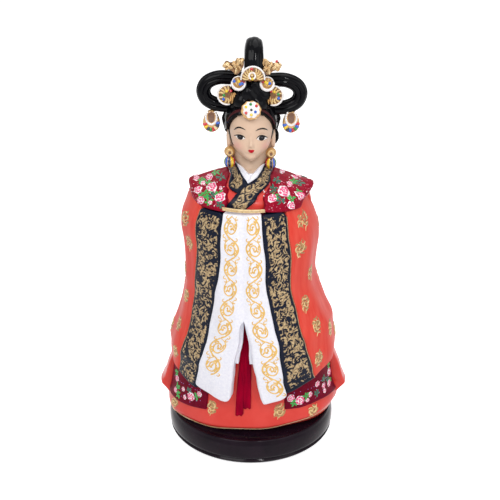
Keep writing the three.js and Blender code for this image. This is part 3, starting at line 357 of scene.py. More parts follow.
def slab(sheet, turn, height, size, depth, edge, figure=None):
    """Closed body between a grid of places on a sheet and its border pushed in towards the axis of the
    sheet. Its outside falls off to the border by a quarter circle of radius edge, or of a pair of radii for
    its left and right sides, each a number or a function of the height. A figure of (across, up, width,
    tall) in millimetres, from 0 to 1, rises by FIGURE_RISE, and then its values come back with the body."""
    u, v, width, tall = size
    first, second = (edge, edge) if np.isscalar(edge) else edge
    first, second = (radius(height) if callable(radius) else radius for radius in (first, second))
    edge = edge if np.isscalar(edge) else PLAIN_EDGE
    lift = np.zeros(u.shape)
    borders = [(u * width, first), ((1 - u) * width, second), (v * tall, edge), ((1 - v) * tall, edge)]
    for border, radius in borders:
        fall = np.sqrt(np.maximum(radius ** 2 - np.maximum(radius - border, 0) ** 2, 0)) - radius
        lift = np.minimum(lift, fall)
    mark = np.zeros(u.shape) if figure is None else figure(u * width, v * tall, width, tall)
    outside = sheet(turn, height, lift + FIGURE_RISE * mark)
    m, n = u.shape
    index = np.arange(m * n).reshape(m, n)
    quads = np.stack([index[:-1, :-1], index[1:, :-1], index[1:, 1:], index[:-1, 1:]], -1).reshape(-1, 4)
    loop = np.concatenate([index[:-1, 0], index[-1, :-1], index[:0:-1, -1], index[0, :0:-1]])
    inside = outside.reshape(-1, 3)[loop]
    inside[:, :2] *= 1 - depth / np.hypot(inside[:, 0], inside[:, 1])[:, None]
    inner = m * n + np.arange(len(loop))
    walls = np.stack([np.roll(loop, -1), loop, inner, np.roll(inner, -1)], -1)
    middle, none = np.full(len(loop), m * n + len(loop)), np.full(len(loop), -1)
    fan = np.stack([np.roll(inner, -1), inner, middle, none], -1)
    points = np.vstack([outside.reshape(-1, 3), inside, inside.mean(0)[None]])
    body = outward(points, np.vstack([quads, walls, fan]))
    if figure is None:
        return body
    return body, np.concatenate([mark.ravel(), np.zeros(len(loop) + 1)])


def panel(sheet, left, right, low, high, depth=16.0, edge=0.6, step=1.0, figure=None):
    """Slab of a sheet between turns that follow the height and heights that follow the turn. A few rounds
    of looking one up with the other find where the borders cross."""
    near = edge if np.isscalar(edge) else PLAIN_EDGE
    tall = edge_at(high, 0.0) - edge_at(low, 0.0)
    middle = edge_at(high, 0.0) - 0.5 * tall
    width = np.radians(edge_at(right, middle) - edge_at(left, middle)) * PANEL_REACH
    u, v = np.meshgrid(stations(width, near, step), stations(tall, near, step), indexing="ij")

    def border(rows):
        """Heights of the grid's places on a border of (turn, height)."""
        height = edge_at(rows, 0.0) + 0 * u
        for _ in range(6):
            height = edge_at(rows, edge_at(left, height) * (1 - u) + edge_at(right, height) * u)
        return height

    height = border(low) * (1 - v) + border(high) * v
    turn = edge_at(left, height) * (1 - u) + edge_at(right, height) * u
    return slab(sheet, turn, height, (u, v, width, tall), depth, edge, figure)


def back_folds(turn, height):
    """Upright folds of the back panel: 1.1 mm waves every 24 degrees, each with a sharper valley."""
    fade = np.clip(1.15 - height / 110, 0, 1) * np.clip(-np.cos(np.radians(turn)) * 3, 0, 1)
    return 1.1 * fade * (np.abs(np.sin(np.radians(turn * 7.5 + 6 * np.sin(height / 17)))) ** 0.7 - 0.6)


back_sheet = sheet_of(BACK_PANEL, back_folds)
back = panel(back_sheet, SIDE_SLIT, 360 - SIDE_SLIT, BACK_LOW, BACK_HIGH, depth=9.0, edge=0.9, step=1.2)
new_piece("robe_back_casting", [(back, coral)], ["robe_back"])

# The embroidered hem bands. Wine red paint over a low step of the casting on both front skirts, with
# peonies in white and hot pink and leaves in two greens laid on with a full brush, so that every stroke
# stands up.

HEM_LOW = [
    [-79, 9.4], [-59.5, 9.4], [-45.5, 10.1], [-32, 11.2], [23, 11.4], [33, 10.4], [49.5, 10.3], [73, 8.4],
]
BAND_TOP = 30.0
BAND_LIFT = 1.2
# Turn, height and radius of each flower, and turn, height and kind of each tuft of leaves
HEM_FLOWERS = [
    [-66.5, 19.4, 1.7], [-66.2, 13.4, 1.5], [-56.2, 16.5, 1.2], [-47, 15, 2.4], [-39.2, 17.8, 1.5],
    [-53.2, 13, 1.2], [27.2, 17.1, 2.0], [34, 14.6, 2.5], [43.2, 15.9, 1.4], [40.2, 13.3, 1.1],
    [51.5, 19.8, 1.6], [59, 16.4, 1.5], [59.3, 13.2, 1.3], [71.5, 20.7, 2.2], [68.2, 14.8, 1.9],
]
HEM_LEAVES = [
    [-68.5, 22, 1], [-61.5, 12.6, 1], [-63.5, 16, 1], [-41.2, 16.4, 1], [-49.5, 17.6, 0], [40, 16.1, 1],
    [29, 14.2, 1], [71.2, 15.3, 1], [72, 24.5, 1], [49.5, 15, 0], [60.5, 20.3, 0], [66.5, 18, 0],
]


def lifted(at, rise):
    """The same sheet or map, further out by rise."""
    def further(a, b, c=0.0):
        """at(a, b, c + rise)."""
        return at(a, b, c + rise)
    return further


def on_side(rows, sign):
    """Rows of a table whose turn is on one side of the front: the left is -1, the right is 1."""
    return [row for row in rows if row[0] * sign > 0]


def on_sheet(sheet, turn, height, front=False):
    """Map from (a, b, c) in millimetres, measured on a sheet from a turn and a height, to the figure: a to
    the right, b up, c outwards. front measures a and b as they are seen from the front and above, the way a
    painter lays a flower on a slope, wherever the sheet faces that way."""
    around = sheet(turn + 0.5, height) - sheet(turn - 0.5, height)
    upward = sheet(turn, height + 0.5) - sheet(turn, height - 0.5)
    normal = np.cross(around, upward) / np.linalg.norm(np.cross(around, upward))
    right = around / np.linalg.norm(around)
    up = np.cross(normal, right)
    if front and normal @ [0, -0.92, 0.4] > 0.35:
        right, up = np.array([1, 0, 0]), np.array([0, 0.4, 0.92])
    step = np.linalg.inv([[around @ right, upward @ right], [around @ up, upward @ up]])

    def at(a, b, c):
        """Place at the turn and height that a and b millimetres lead to."""
        return sheet(turn + step[0, 0] * a + step[0, 1] * b, height + step[1, 0] * a + step[1, 1] * b, c)
    return at


def pressed(at, outline, rows):
    """Closed body of an outline (a, b) on a surface, drawn in to its middle by the share and set at the
    lift of each row (share, lift)."""
    outline = np.array(outline, float)
    share, lift = np.array(rows, float).T
    rings = outline.mean(0) + share[:, None, None] * (outline - outline.mean(0))
    return ring_solid(at(rings[..., 0], rings[..., 1], lift[:, None]))


def blob(at, outline, height, sink=0.3):
    """Low dome of paint on a surface, height times the root of 1 - r^2 at a fraction r of its outline."""
    share = np.array([1, 0.97, 0.87, 0.66, 0.35])
    return pressed(at, outline, [[1, -sink], *np.column_stack([share, height * np.sqrt(1 - share ** 2)])])


def oval(a, b, half_a, half_b, spin=0.0, lobes=0, depth=0.0, count=24, phase=0.0):
    """Outline of an ellipse about (a, b) whose radius waves by depth in a number of lobes."""
    angle = np.arange(count) * 2 * np.pi / count
    wave = 1 + depth * np.sin(lobes * angle + phase)
    x, y = half_a * wave * np.cos(angle), half_b * wave * np.sin(angle)
    across = a + x * np.cos(spin) - y * np.sin(spin)
    return np.column_stack([across, b + x * np.sin(spin) + y * np.cos(spin)])


def arc(a, b, radius, start, end, count=9, grow=0.0):
    """Points of an arc about (a, b) between two angles in degrees, whose radius grows by a share of
    itself."""
    angle = np.radians(np.linspace(start, end, count))
    size = radius * (1 + grow * np.linspace(0, 1, count))
    return np.column_stack([a + size * np.cos(angle), b + size * np.sin(angle)])


def peony(at, radius, seed):
    """Coats of one flower: a white lobed dome, short pink strokes round its rim and centre, a white
    heart."""
    rng = np.random.default_rng(seed)
    phase = rng.random() * 6
    coats = [(blob(at, oval(0, 0, radius, radius * 0.94, phase, 6, 0.06, 30, phase), 0.3), petal_white)]
    strokes = 4 if radius < 1.4 else 7
    for k in range(strokes):
        start = phase * 57 + k * 360 / strokes + rng.random() * 20
        path = arc(0, 0, radius * (0.5 + 0.24 * rng.random()), start, start + 52, 9)
        coats.append((bead(lifted(at, 0.2), path, radius * 0.46, 0.14, 0.6, 0.2), hot_pink))
    heart = oval(0, 0, radius * 0.36, radius * 0.3, phase, 3, 0.2, 18)
    coats.append((blob(lifted(at, 0.24), heart, 0.16), hot_pink))
    eye = oval(radius * 0.06, 0, radius * 0.14, radius * 0.11, count=12)
    coats.append((blob(lifted(at, 0.24), eye, 0.24), petal_white))
    return coats


def curve(points, count):
    """Smooth path through points, at even steps of its length."""
    points = np.array(points, float)
    length = np.concatenate([[0], np.cumsum(np.linalg.norm(np.diff(points, axis=0), axis=1))])
    return through(np.column_stack([length, points]), np.linspace(0, length[-1], count))


def leaves(at, material, seed, size=1.0):
    """Coats of a tuft: five short thick strokes that fan out from one place."""
    rng = np.random.default_rng(seed)
    turn = rng.random() * 360
    coats = []
    for k in range(5):
        angle = np.radians(turn + k * 72 + rng.random() * 30)
        reach = size * (1.5 + 0.8 * rng.random())
        path = curve([[0.2 * np.cos(angle), 0.2 * np.sin(angle)],
                      [0.6 * reach * np.cos(angle + 0.25), 0.6 * reach * np.sin(angle + 0.25)],
                      [reach * np.cos(angle), reach * np.sin(angle)]], 9)
        coats.append((bead(at, path, size * 0.95, 0.2, 0.7), material))
    return coats


def embroidery(sheet, flowers, tufts, seed, front=False):
    """Coats of all the flowers and tufts of leaves on a sheet."""
    coats = []
    for k, (turn, height, kind) in enumerate(tufts):
        green = leaf_green if kind else pine_green
        coats += leaves(on_sheet(sheet, turn, height, front), green, seed + 50 + k, 1.1)
    for k, (turn, height, radius) in enumerate(flowers):
        coats += peony(on_sheet(sheet, turn, height, front), radius, seed + k)
    return coats


def dabs(sheet, left, right, low, high, count, seed):
    """Bodies of small stray dabs of the brush, scattered over a piece of a sheet."""
    rng = np.random.default_rng(seed)
    bodies = []
    for _ in range(count):
        at = on_sheet(sheet, left + (right - left) * rng.random(), low + (high - low) * rng.random())
        dab = oval(0, 0, 0.2 + 0.22 * rng.random(), 0.16 + 0.1 * rng.random(), rng.random() * 3, count=8)
        bodies.append(blob(at, dab, 0.08, 0.1))
    return bodies


# Paint from a full brush dries in soft ridges that are paler where it lies thick; the wine red under it
# is grainy, with pink specks
violet = painted("pale violet brush marks", "#A487C8", "#8C6CB0", 0.4, patch=1.0, grain=0.3)
wine = painted("wine red paint, satin varnish", "#640A22", "#7E102A", 0.4, patch=2.6, grain=0.5,
               relief=0.08, specks=("#98405C", 1.3, 0.11), Specular_IOR_Level=0.03)
petal_white = painted("white brush paint", "#FBF4F5", "#F4DCE4", 0.35, patch=1.2, grain=0.3)
hot_pink = painted("hot pink brush paint", "#DE1F66", "#EE5890", 0.35, patch=0.8, grain=0.3)
leaf_green = painted("bright green brush paint", "#1E9B3C", "#35B04A", 0.35, patch=1.0, grain=0.3)
pine_green = painted("dark green brush paint", "#0E5442", "#176A50", 0.35, patch=1.0, grain=0.3)
band_sheet = lifted(skirt_sheet, BAND_LIFT)
for side, sign, ends, dabbed in (
    ("left", -1, (1 - SIDE_SLIT, -32.4), (-74, -36)), ("right", 1, (22.8, SIDE_SLIT - 1), (26, 74)),
):
    band = panel(band_sheet, *ends, HEM_LOW, BAND_TOP, depth=4.0, edge=0.7)
    coats = [(band, wine)]
    coats += embroidery(band_sheet, on_side(HEM_FLOWERS, sign), on_side(HEM_LEAVES, sign), 3)
    coats += [(body, violet) for body in dabs(band_sheet, *dabbed, 12, 21, 26, 5)]
    stand_in(f"hem_band_{side}", coats)

# The two sash tails. Burgundy paint drawn down in long streaks over two flat strips that hang in the
# parting of the white cloths; the brush ran dry at their ragged lower ends.

SASH_LEFT = [[0, -11.4], [22, -11.2], [36.9, -10], [38, -11], [70, -11]]
SASH_RIGHT = [[0, -0.8], [37, -1.2], [38, 1], [70, -1]]
SASH_GAP = 0.06
SASH_TOP = 66.0
SASH_LIFT = 1.1
# Radii of the outer edge of a tail and of the edge at the parting
SASH_EDGE = 0.4
PARTING_EDGE = 0.05
# Streaks a millimetre wide and nearly two centimetres long, without gloss
burgundy = painted("burgundy paint in long streaks", "#A8062A", "#780824", 0.42, patch=1.3, stretch=14.0,
                   grain=0.5, relief=0.12, Specular_IOR_Level=0.0)
sash_sheet = lifted(skirt_sheet, SASH_LIFT)
ragged = [[-12, 10.4], [-10.2, 9.6], [-8.6, 10.3], [-7.4, 9.5], [-6.2, 10.8]]
frayed = [[-6, 13.9], [-4.6, 13.2], [-3.2, 14.1], [-1.8, 13.3], [-0.5, 14.2]]
for side, left, right, low, radii in (
    ("left", SASH_LEFT, -6 - SASH_GAP, ragged, (SASH_EDGE, PARTING_EDGE)),
    ("right", -6 + SASH_GAP, SASH_RIGHT, frayed, (PARTING_EDGE, SASH_EDGE)),
):
    tail = panel(sash_sheet, left, right, low, SASH_TOP, depth=4.0, edge=radii, step=0.7)
    stand_in(f"sash_tail_{side}", [(tail, burgundy)])

# The sleeves, the navy bands along their edges and the white cloths over the hands, from the back forwards.
# All are one relief of the casting. Gold sprigs are stamped on the sleeves, gold brocade is dragged over
# the raised pattern of the navy bands, and a yellow gold scroll is painted with a fine brush on the white.

SLEEVE = [
    [18, 1.4, 43.4, 37.8, 33.5], [23, 1.5, 43.2, 38, 33.4], [30, 1, 41.6, 38.2, 33.2],
    [34, 1.2, 41.6, 38.1, 32.8], [38, 1, 41.6, 38, 32.3], [44, 1.2, 40.2, 37.7, 31.6],
    [50, 1.9, 38.7, 37.3, 30.8], [57, 1.3, 36, 36.8, 29.8], [63, 0.8, 34.3, 36.3, 28.6],
    [70, 0.1, 32.4, 35.8, 27.2], [76, -0.5, 31.8, 35.3, 26.4], [84, -0.2, 31.9, 34.7, 25.6],
    [92, 0, 32.5, 34, 25.2], [99, -0.7, 32.8, 33.3, 24.9], [105, -1.3, 31.7, 32.6, 24.4],
    [110, -1.4, 29.7, 32, 23.4], [114, -1.5, 28.1, 30.8, 22], [118, -1.1, 26.6, 27.4, 20.2],
]
CLOTH_LEFT_OUTER = [
    [18, -41], [26.4, -40.8], [42.8, -36], [58.6, -35], [74.7, -30.2], [81, -27.5], [94.5, -24.2],
    [103, -22.2], [114, -22],
]
CLOTH_LEFT_INNER = [
    [18, -15], [23, -15], [30, -14], [41.6, -12.5], [46.5, -12], [60.6, -9.8], [63, -6.9], [118, -5],
]
CLOTH_RIGHT_INNER = [
    [18, 6], [20.6, 5], [22.4, 4], [32.5, 2.2], [42.7, -0.8], [60, -5.6], [63, -6.9], [118, -5],
]
CLOTH_RIGHT_OUTER = [
    [18, 21.6], [25.6, 20.8], [46, 17.2], [58.4, 15.8], [73.4, 14.8], [82.5, 12.2], [98.8, 11], [112, 12.2],
]
BAND_LEFT_OUTER = [
    [18, -62], [27, -60.3], [48.1, -56.5], [62.5, -57], [83.4, -54.2], [96.5, -49], [107.6, -50],
    [118, -48],
]
BAND_RIGHT_OUTER = [
    [18, 47], [27.6, 45.8], [51.9, 36.4], [66.7, 38.2], [86.9, 35.5], [100.9, 33.8], [111.1, 37.4],
]
CLOTH_LEFT_HEM = [
    [-40.8, 26.2], [-39.6, 24.9], [-29.5, 22.6], [-20.8, 20], [-18.2, 19.8], [-16.4, 20.5], [-15.2, 22.2],
    [-14.6, 24.5],
]
CLOTH_RIGHT_HEM = [[3.6, 24], [4.6, 21], [6, 19.4], [8, 19.3], [17.2, 20.8], [20.2, 22.1], [21.4, 24]]
BAND_LEFT_HEM = [[-60.3, 27], [-45.2, 23.5], [-40, 22.8]]
BAND_RIGHT_HEM = [[20.8, 23.5], [25.5, 24.3], [35.5, 26.4], [45.8, 27.6]]
SLEEVE_LEFT_HEM = [[-116, 37], [-100, 32.5], [-85, 29.2], [-71, 27.6], [-60.3, 27]]
SLEEVE_RIGHT_HEM = [[45.8, 27.6], [54.5, 28.9], [66.2, 30], [100, 34.5], [116, 37]]
BAND_LEFT_TOP = [[-50, 110.3], [-48.6, 112.3], [-46, 113.3], [-26, 113.4], [-23.6, 112.6], [-22, 111]]
BAND_RIGHT_TOP = [[12, 111], [13.4, 112.6], [16, 113.4], [32.4, 113.3], [35, 112.4], [36.6, 110.4]]
SLEEVE_BACK = 114.0
SLEEVE_TOP = 116.8
CLOTH_TOP = 113.4
# How far the coral lies under the navy bands, and how far the cloths lie over them and their linings under
SLEEVE_SINK = 0.3
CLOTH_LIFT = 0.7
LINING_SINK = 3.0
# Half width of the swing of the scrolls, and half sizes of a sprig
SCROLL_SWING = 3.6
SPRIG_HALVES = (3.0, 3.5)
# Turn, height, and the width and height of each sprig as shares of its usual size
SPRIGS = [
    [54.5, 106.1, 1.6, 1], [44.8, 94, 1.2, 1], [63.4, 78.3, 1.3, 1], [49.3, 66.1, 1, 1], [53, 53.5, 0.9, 1],
    [70, 47.3, 1, 1], [50.2, 36.7, 1.1, 1], [-68.3, 104.5, 1.5, 1], [-62, 93.4, 1.2, 1], [-77.5, 77, 1, 1],
    [-69.5, 65.1, 1, 0.9], [-72, 49, 1, 1], [-67.2, 35.5, 1, 0.9], [95, 98, 1, 1], [100, 70, 1, 1],
    [92, 40, 1, 1], [-98, 96, 1, 1], [-102, 68, 1, 1], [-94, 42, 1, 1],
]
SKIRT_SPRIGS = [[-28.6, 12.6, 0.85, 1], [18.3, 11, 1, 1], [43.5, 6.6, 0.9, 0.6], [-66, 7, 1, 0.6]]
BACK_SPRIGS = [
    [turn + 9 * (row % 2), 16 + 17 * row, 1, 1] for row in range(6) for turn in (118, 146, 175, 203, 232)
]


def sleeve_folds(turn, height):
    """Long soft folds of the sleeves: waves of turn that lean with height, up to 0.4 mm, none on the
    bands."""
    off = np.clip((np.abs(turn + 8) - 50) / 12, 0, 1)
    return 0.45 * off * np.sin(np.radians(turn * 11 + height * 2.1)) * np.clip((112 - height) / 20, 0, 1)


def sprig(at, seed, wide=1.0, tall=1.0):
    """Coats of a stamped sprig: an oval crowd of short hooked strokes that run round its middle and out of
    it, two thirds old gold and the rest pale and on top, and a few small red dots where the ground
    shows."""
    rng = np.random.default_rng(seed)
    coats = []
    for k in range(30):
        angle, far = k * 2.4 + 0.5 * rng.random(), np.sqrt((k + 0.6) / 30) * (0.88 + 0.2 * rng.random())
        a = SPRIG_HALVES[0] * wide * far * np.cos(angle)
        b = SPRIG_HALVES[1] * tall * far * np.sin(angle)
        lean = angle + (0.4 + 1.3 * rng.random()) * (1 if k % 4 else -1)
        way = np.linspace(-1, 1, 9) * (0.8 + 0.8 * rng.random())
        hook = (0.25 + 0.4 * rng.random()) * way ** 2
        path = [a + way * np.cos(lean) - hook * np.sin(lean), b + way * np.sin(lean) + hook * np.cos(lean)]
        ground, wide_by, paint = (lifted(at, 0.12), 0.4, pale_gold) if k % 3 == 1 else (at, 0.6, gold)
        width = wide_by + 0.4 * rng.random()
        coats.append((bead(ground, np.column_stack(path), width, 0.2, 0.5), paint))
    for k in range(3):
        a, b = 3.0 * rng.random(2) - 1.5
        coats.append((blob(lifted(at, 0.25), oval(a, b, 0.28, 0.22, count=10), 0.12), crimson))
    return coats


def noise(a, b, size, seed):
    """Smooth random field from 0 to 1: random values on a grid of a size, joined by smooth steps."""
    table = np.random.default_rng(seed).random((64, 64))
    x, y = a / size + 17.3, b / size + 9.1
    i, j = np.floor(x).astype(int), np.floor(y).astype(int)
    u, v = (x - i) ** 2 * (3 - 2 * (x - i)), (y - j) ** 2 * (3 - 2 * (y - j))
    low = table[i % 64, j % 64] * (1 - u) + table[(i + 1) % 64, j % 64] * u
    high = table[i % 64, (j + 1) % 64] * (1 - u) + table[(i + 1) % 64, (j + 1) % 64] * u
    return low * (1 - v) + high * v


def arabesque(a, b, cell, seed, fill=0.0):
    """Gold scrollwork from 0 to 1. Eyes sit on a jittered grid; a point takes the wave of a spiral round
    its nearest eye, cos(2 pi r / pitch - angle), and noise bends the lines and thins them out in places."""
    a, b = a + 1.1 * (noise(a, b, 1.6, seed + 1) - 0.5), b + 1.1 * (noise(a, b, 1.6, seed + 2) - 0.5)
    jitter = np.random.default_rng(seed).random((64, 64, 3))
    nearest, turn = np.full(a.shape, 1e9), np.zeros(a.shape)
    for i_step in (-1, 0, 1):
        for j_step in (-1, 0, 1):
            i, j = np.floor(a / cell).astype(int) + i_step, np.floor(b / cell).astype(int) + j_step
            eye = jitter[i % 64, j % 64]
            across, up = a - (i + 0.2 + 0.6 * eye[..., 0]) * cell, b - (j + 0.2 + 0.6 * eye[..., 1]) * cell
            closer = np.hypot(across, up) < nearest
            nearest = np.where(closer, np.hypot(across, up), nearest)
            turn = np.where(closer, np.arctan2(up, across) * np.sign(eye[..., 2] - 0.5), turn)
    wave = np.cos(2 * np.pi * nearest / (0.34 * cell) - turn)
    wave = wave + 1.8 * (noise(a, b, 1.3, seed + 3) - 0.5) + fill
    wave = np.where(nearest < 0.11 * cell, -1.0, wave)
    return np.clip((wave + 0.15) / 0.5, 0, 1)


def brocade(margin, cell, seed, fill=0.0, worn=0.0, piping=0.0):
    """Figure of a band: scrollwork inside a plain margin with a wavy border, broken up by clumps of noise
    of two sizes as far as it is worn, and a thin line of gold along one side."""
    def figure(a, b, width, tall):
        """Gold from 0 to 1 at a across and b up: the larger of the pattern and the piping."""
        border = np.minimum(np.minimum(a, width - a), np.minimum(b, tall - b))
        inside = np.clip((border - margin + 1.3 * (noise(a, b, 1.9, seed + 5) - 0.5)) / 0.3, 0, 1)
        scrolls = arabesque(a, b, cell, seed, fill)
        clumps = 0.62 * noise(a, b, 1.35, seed + 6) + 0.38 * noise(a, b, 0.6, seed + 7)
        clumps += 0.22 * (noise(a, b, 5.5, seed + 8) - 0.5)
        broken = np.clip((clumps - 0.525 + 0.3 * (scrolls - 0.5)) / 0.05, 0, 1)
        side = a if piping < 0 else width - a
        line = np.clip((0.36 - np.abs(side - 0.42)) / 0.12, 0, 1) * (piping != 0)
        return np.maximum((scrolls * (1 - worn) + broken * worn) * inside, line)
    return figure


# Crimson shows pale specks of its ground. Gold is fine metal powder in a binder: it glints only in part,
# and is brown where it lies thin. Navy is close to black, and the white has a fine grain
crimson = painted("crimson paint, satin varnish", "#800A22", "#A0142E", 0.42, patch=2.2, grain=0.5,
                  relief=0.14, specks=("#C2506A", 1.15, 0.15), Specular_IOR_Level=0.04)
gold = painted("old gold paint", "#B8935E", "#8C6A40", 0.36, patch=1.1, grain=0.35, relief=0.08,
               Metallic=0.3)
pale_gold = painted("pale gold brush strokes", "#E6CD9A", "#CDAA6C", 0.36, patch=0.9, grain=0.3,
                    Metallic=0.2)
coral_sleeve = painted("coral paint drawn down in streaks", "#DE4034", "#E6584A", 0.42, patch=3.0,
                       stretch=9.0, grain=0.7, relief=0.06, Specular_IOR_Level=0.09)
navy = painted("navy paint with gold brocade", "#050713", "#0A1730", 0.24, patch=0.8, grain=0.4,
               relief=0.05, marked=("gold", "#DCC296", "#72573A", 0.4, 0.2), Specular_IOR_Level=0.12)
white = painted("white paint, fine grained", "#F1F0F5", "#E2E1EC", 0.4, patch=1.0, grain=0.35, relief=0.12)
yellow_gold = painted("yellow gold brush line", "#E6BE68", "#D4A550", 0.38, patch=1.5, grain=0.3,
                      Metallic=0.15)
sleeve_sheet = sheet_of(SLEEVE, sleeve_folds)
ground_sheet = lifted(sleeve_sheet, -SLEEVE_SINK)
for side, left, right, low in (
    ("left", -SLEEVE_BACK, BAND_LEFT_OUTER, SLEEVE_LEFT_HEM),
    ("right", BAND_RIGHT_OUTER, SLEEVE_BACK, SLEEVE_RIGHT_HEM),
):
    sleeve = panel(ground_sheet, left, right, low, SLEEVE_TOP, depth=14.0, edge=1.0, step=1.1)
    coats = [(sleeve, coral_sleeve)]
    for k, (turn, height, wide, tall) in enumerate(SPRIGS):
        if (turn < 0) == (side == "left"):
            coats += sprig(on_sheet(ground_sheet, turn, height), k, wide, tall)
    stand_in(f"sleeve_{side}", coats)
for side, left, right, low, high in (
    ("left", BAND_LEFT_OUTER, CLOTH_LEFT_OUTER, BAND_LEFT_HEM, BAND_LEFT_TOP),
    ("right", CLOTH_RIGHT_OUTER, BAND_RIGHT_OUTER, BAND_RIGHT_HEM, BAND_RIGHT_TOP),
):
    weave = (1.5, 4.2, 11, 0.2, 1.0, -1.0) if side == "left" else (1.7, 4.2, 23, 0.25, 1.0, 1.0)
    band, mark = panel(sleeve_sheet, left, right, low, high, edge=0.8, step=0.2, figure=brocade(*weave))
    stand_in(f"sleeve_band_{side}", [(band, navy)], marks={"gold": mark})


def cloth_form(turn, height):
    """Relief of the white cloths: a shallow valley where they meet above the parting, and slow
    swellings."""
    seam = np.interp(height, [60, 63, 118], [-7.5, -6.9, -5])
    valley = np.exp(-((turn - seam) / 3.2) ** 2) * np.clip((height - 56) / 8, 0, 1)
    swell = 0.16 * np.sin(np.radians(height * 9 + turn * 6))
    return -0.75 * valley + swell + 0.12 * np.sin(np.radians(turn * 26))


def running_scroll(sheet, line, pitch, hand, seed):
    """Bodies of a running scroll down a line of (height, turn): a stem that swings A sin(pi t) from side to
    side, one bay to a pitch, and in each bay an oval spiral (A r sin, 0.5 pitch r cos) that leaves the stem
    at the top of the bay and winds in over one and a half turns, with leaves, curls and dots about it."""
    rng = np.random.default_rng(seed)
    line = np.array(line, float).T
    high = line[0, -1]

    def at(a, b, c):
        """Place a millimetres beside the line, where a degree is radians(36) mm wide, and b above its
        top."""
        return sheet(np.interp(high + b, *line) + a / np.radians(36), high + b, c)

    bodies = []
    for k in range(int((high - line[0, 0]) / pitch)):
        side = hand * (-1) ** k
        size = SCROLL_SWING * (0.92 + 0.16 * rng.random())
        middle = -(k + 0.5) * pitch
        way = np.linspace(0, 1, 24)
        stem = np.column_stack([side * size * np.sin(np.pi * way) ** 0.8, middle + pitch * (0.5 - way)])
        angle = 3.1 * np.pi * np.linspace(0, 1, 44)
        radius = 1.0 - 0.8 * np.linspace(0, 1, 44) ** 0.75
        spiral = [-side * size * radius * np.sin(angle), middle + 0.46 * pitch * radius * np.cos(angle)]
        bodies += [bead(at, stem, 0.74, 0.2, 0.1), bead(at, np.column_stack(spiral), 0.66, 0.19, 0.25)]
        for share, spin, reach in ((0.3, 1, 0.85), (0.5, -1, 1.0), (0.74, -1, 0.8)):
            x, y = stem[int(share * 23)]
            start = 90 - side * 90
            curl = arc(x - side * reach, y, reach, start, start + spin * side * 245, 14, -0.6)
            bodies.append(bead(at, curl, 0.55, 0.18, 0.4))
        for x, y in ((0.7, 0.42), (0.85, -0.44), (-0.78, 0.4)):
            curl = arc(side * x * size, middle + y * pitch, 0.95, 90, 90 - side * 260, 14, -0.6)
            bodies.append(bead(at, curl, 0.52, 0.17, 0.4))
        for x, y in ((-0.05, 0.12), (0.34, -0.2), (-0.42, -0.42), (-0.2, 0.62), (0.05, -0.12), (0.5, 0.3)):
            dot = oval(-side * x * size * 1.3, middle + y * pitch * 0.45, 0.55 + 0.4 * rng.random(), 0.4,
                       rng.random() * 3, count=12)
            bodies.append(blob(at, dot, 0.22, 0.15))
        for x, y, lean in ((0.62, 0.2, 1.2), (0.95, -0.12, 1.9), (-0.72, 0.05, 1.4), (0.2, -0.47, 0.5)):
            reach = 0.7 + 0.5 * rng.random()
            way = reach * np.array([np.cos(lean), np.sin(lean)]) * [side, 1]
            place = np.array([side * x * size * 0.86, middle + y * pitch])
            leaf = curve([place - way, place + 0.25 * way[::-1] * [-1, 1], place + way], 9)
            bodies.append(bead(at, leaf, 0.8, 0.2, 0.7))
    return bodies


def free_edge(height):
    """Radius of the cloths' edge beside the parting: 1.3 mm below, almost none above it."""
    return 1.3 * np.clip((62 - height) / 5, 0.02, 1)


# Middle line of each scroll as (height, turn)
SCROLL_LEFT = [[25.5, -29.8], [35, -28], [47, -26], [73.5, -17.2], [112.6, -13.2]]
SCROLL_RIGHT = [[23.2, 14.2], [38.6, 11.4], [59.3, 5.2], [79, 2.6], [112.6, 3.9]]
cloth_sheet = lifted(sheet_of(SLEEVE, cloth_form), CLOTH_LIFT)
lining_fold = lifted(sheet_of(SLEEVE), -LINING_SINK)
for side, left, right, radii, low, line, pitch, hand, lip in (
    ("left", CLOTH_LEFT_OUTER, CLOTH_LEFT_INNER, (0.7, free_edge), CLOTH_LEFT_HEM, SCROLL_LEFT, 9.85, -1,
     ([[37, -15.5], [61, -12]], [[37, -10.6], [47, -9.9], [53, -9.2], [61, -7.6]])),
    ("right", CLOTH_RIGHT_INNER, CLOTH_RIGHT_OUTER, (free_edge, 0.7), CLOTH_RIGHT_HEM, SCROLL_RIGHT, 9.9, 1,
     ([[37, -1.9], [47, -3.9], [53, -5.4], [61, -7.6]], [[37, 3], [61, -3]])),
):
    cloth = panel(cloth_sheet, left, right, low, CLOTH_TOP, depth=4.0, edge=radii, step=0.55)
    fold = panel(lining_fold, *lip, 39.8, 62, depth=2.0, edge=0.3)
    coats = [(cloth, white), (fold, white)]
    coats += [(body, yellow_gold) for body in running_scroll(cloth_sheet, line, pitch, hand, 30)]
    stand_in(f"hansam_{side}", coats)
for name, sheet, places in (("skirt", skirt_sheet, SKIRT_SPRIGS), ("robe_back", back_sheet, BACK_SPRIGS)):
    coats = []
    for k, (turn, height, wide, tall) in enumerate(places):
        coats += sprig(on_sheet(sheet, turn, height), 60 + k, wide, tall)
    new_piece(f"{name}_sprigs_stamped", coats)

# The roll of the white cloths between the hands. A rounded fold of the relief, wiped with gold so that its
# ridges stay cream.

# Gold that is wiped off again while wet stays in the hollows
roll_gold = painted("cream and gold wiped roll", "#E9D3A6", "#C39A60", 0.36, patch=0.9, grain=0.4,
                    relief=0.06)


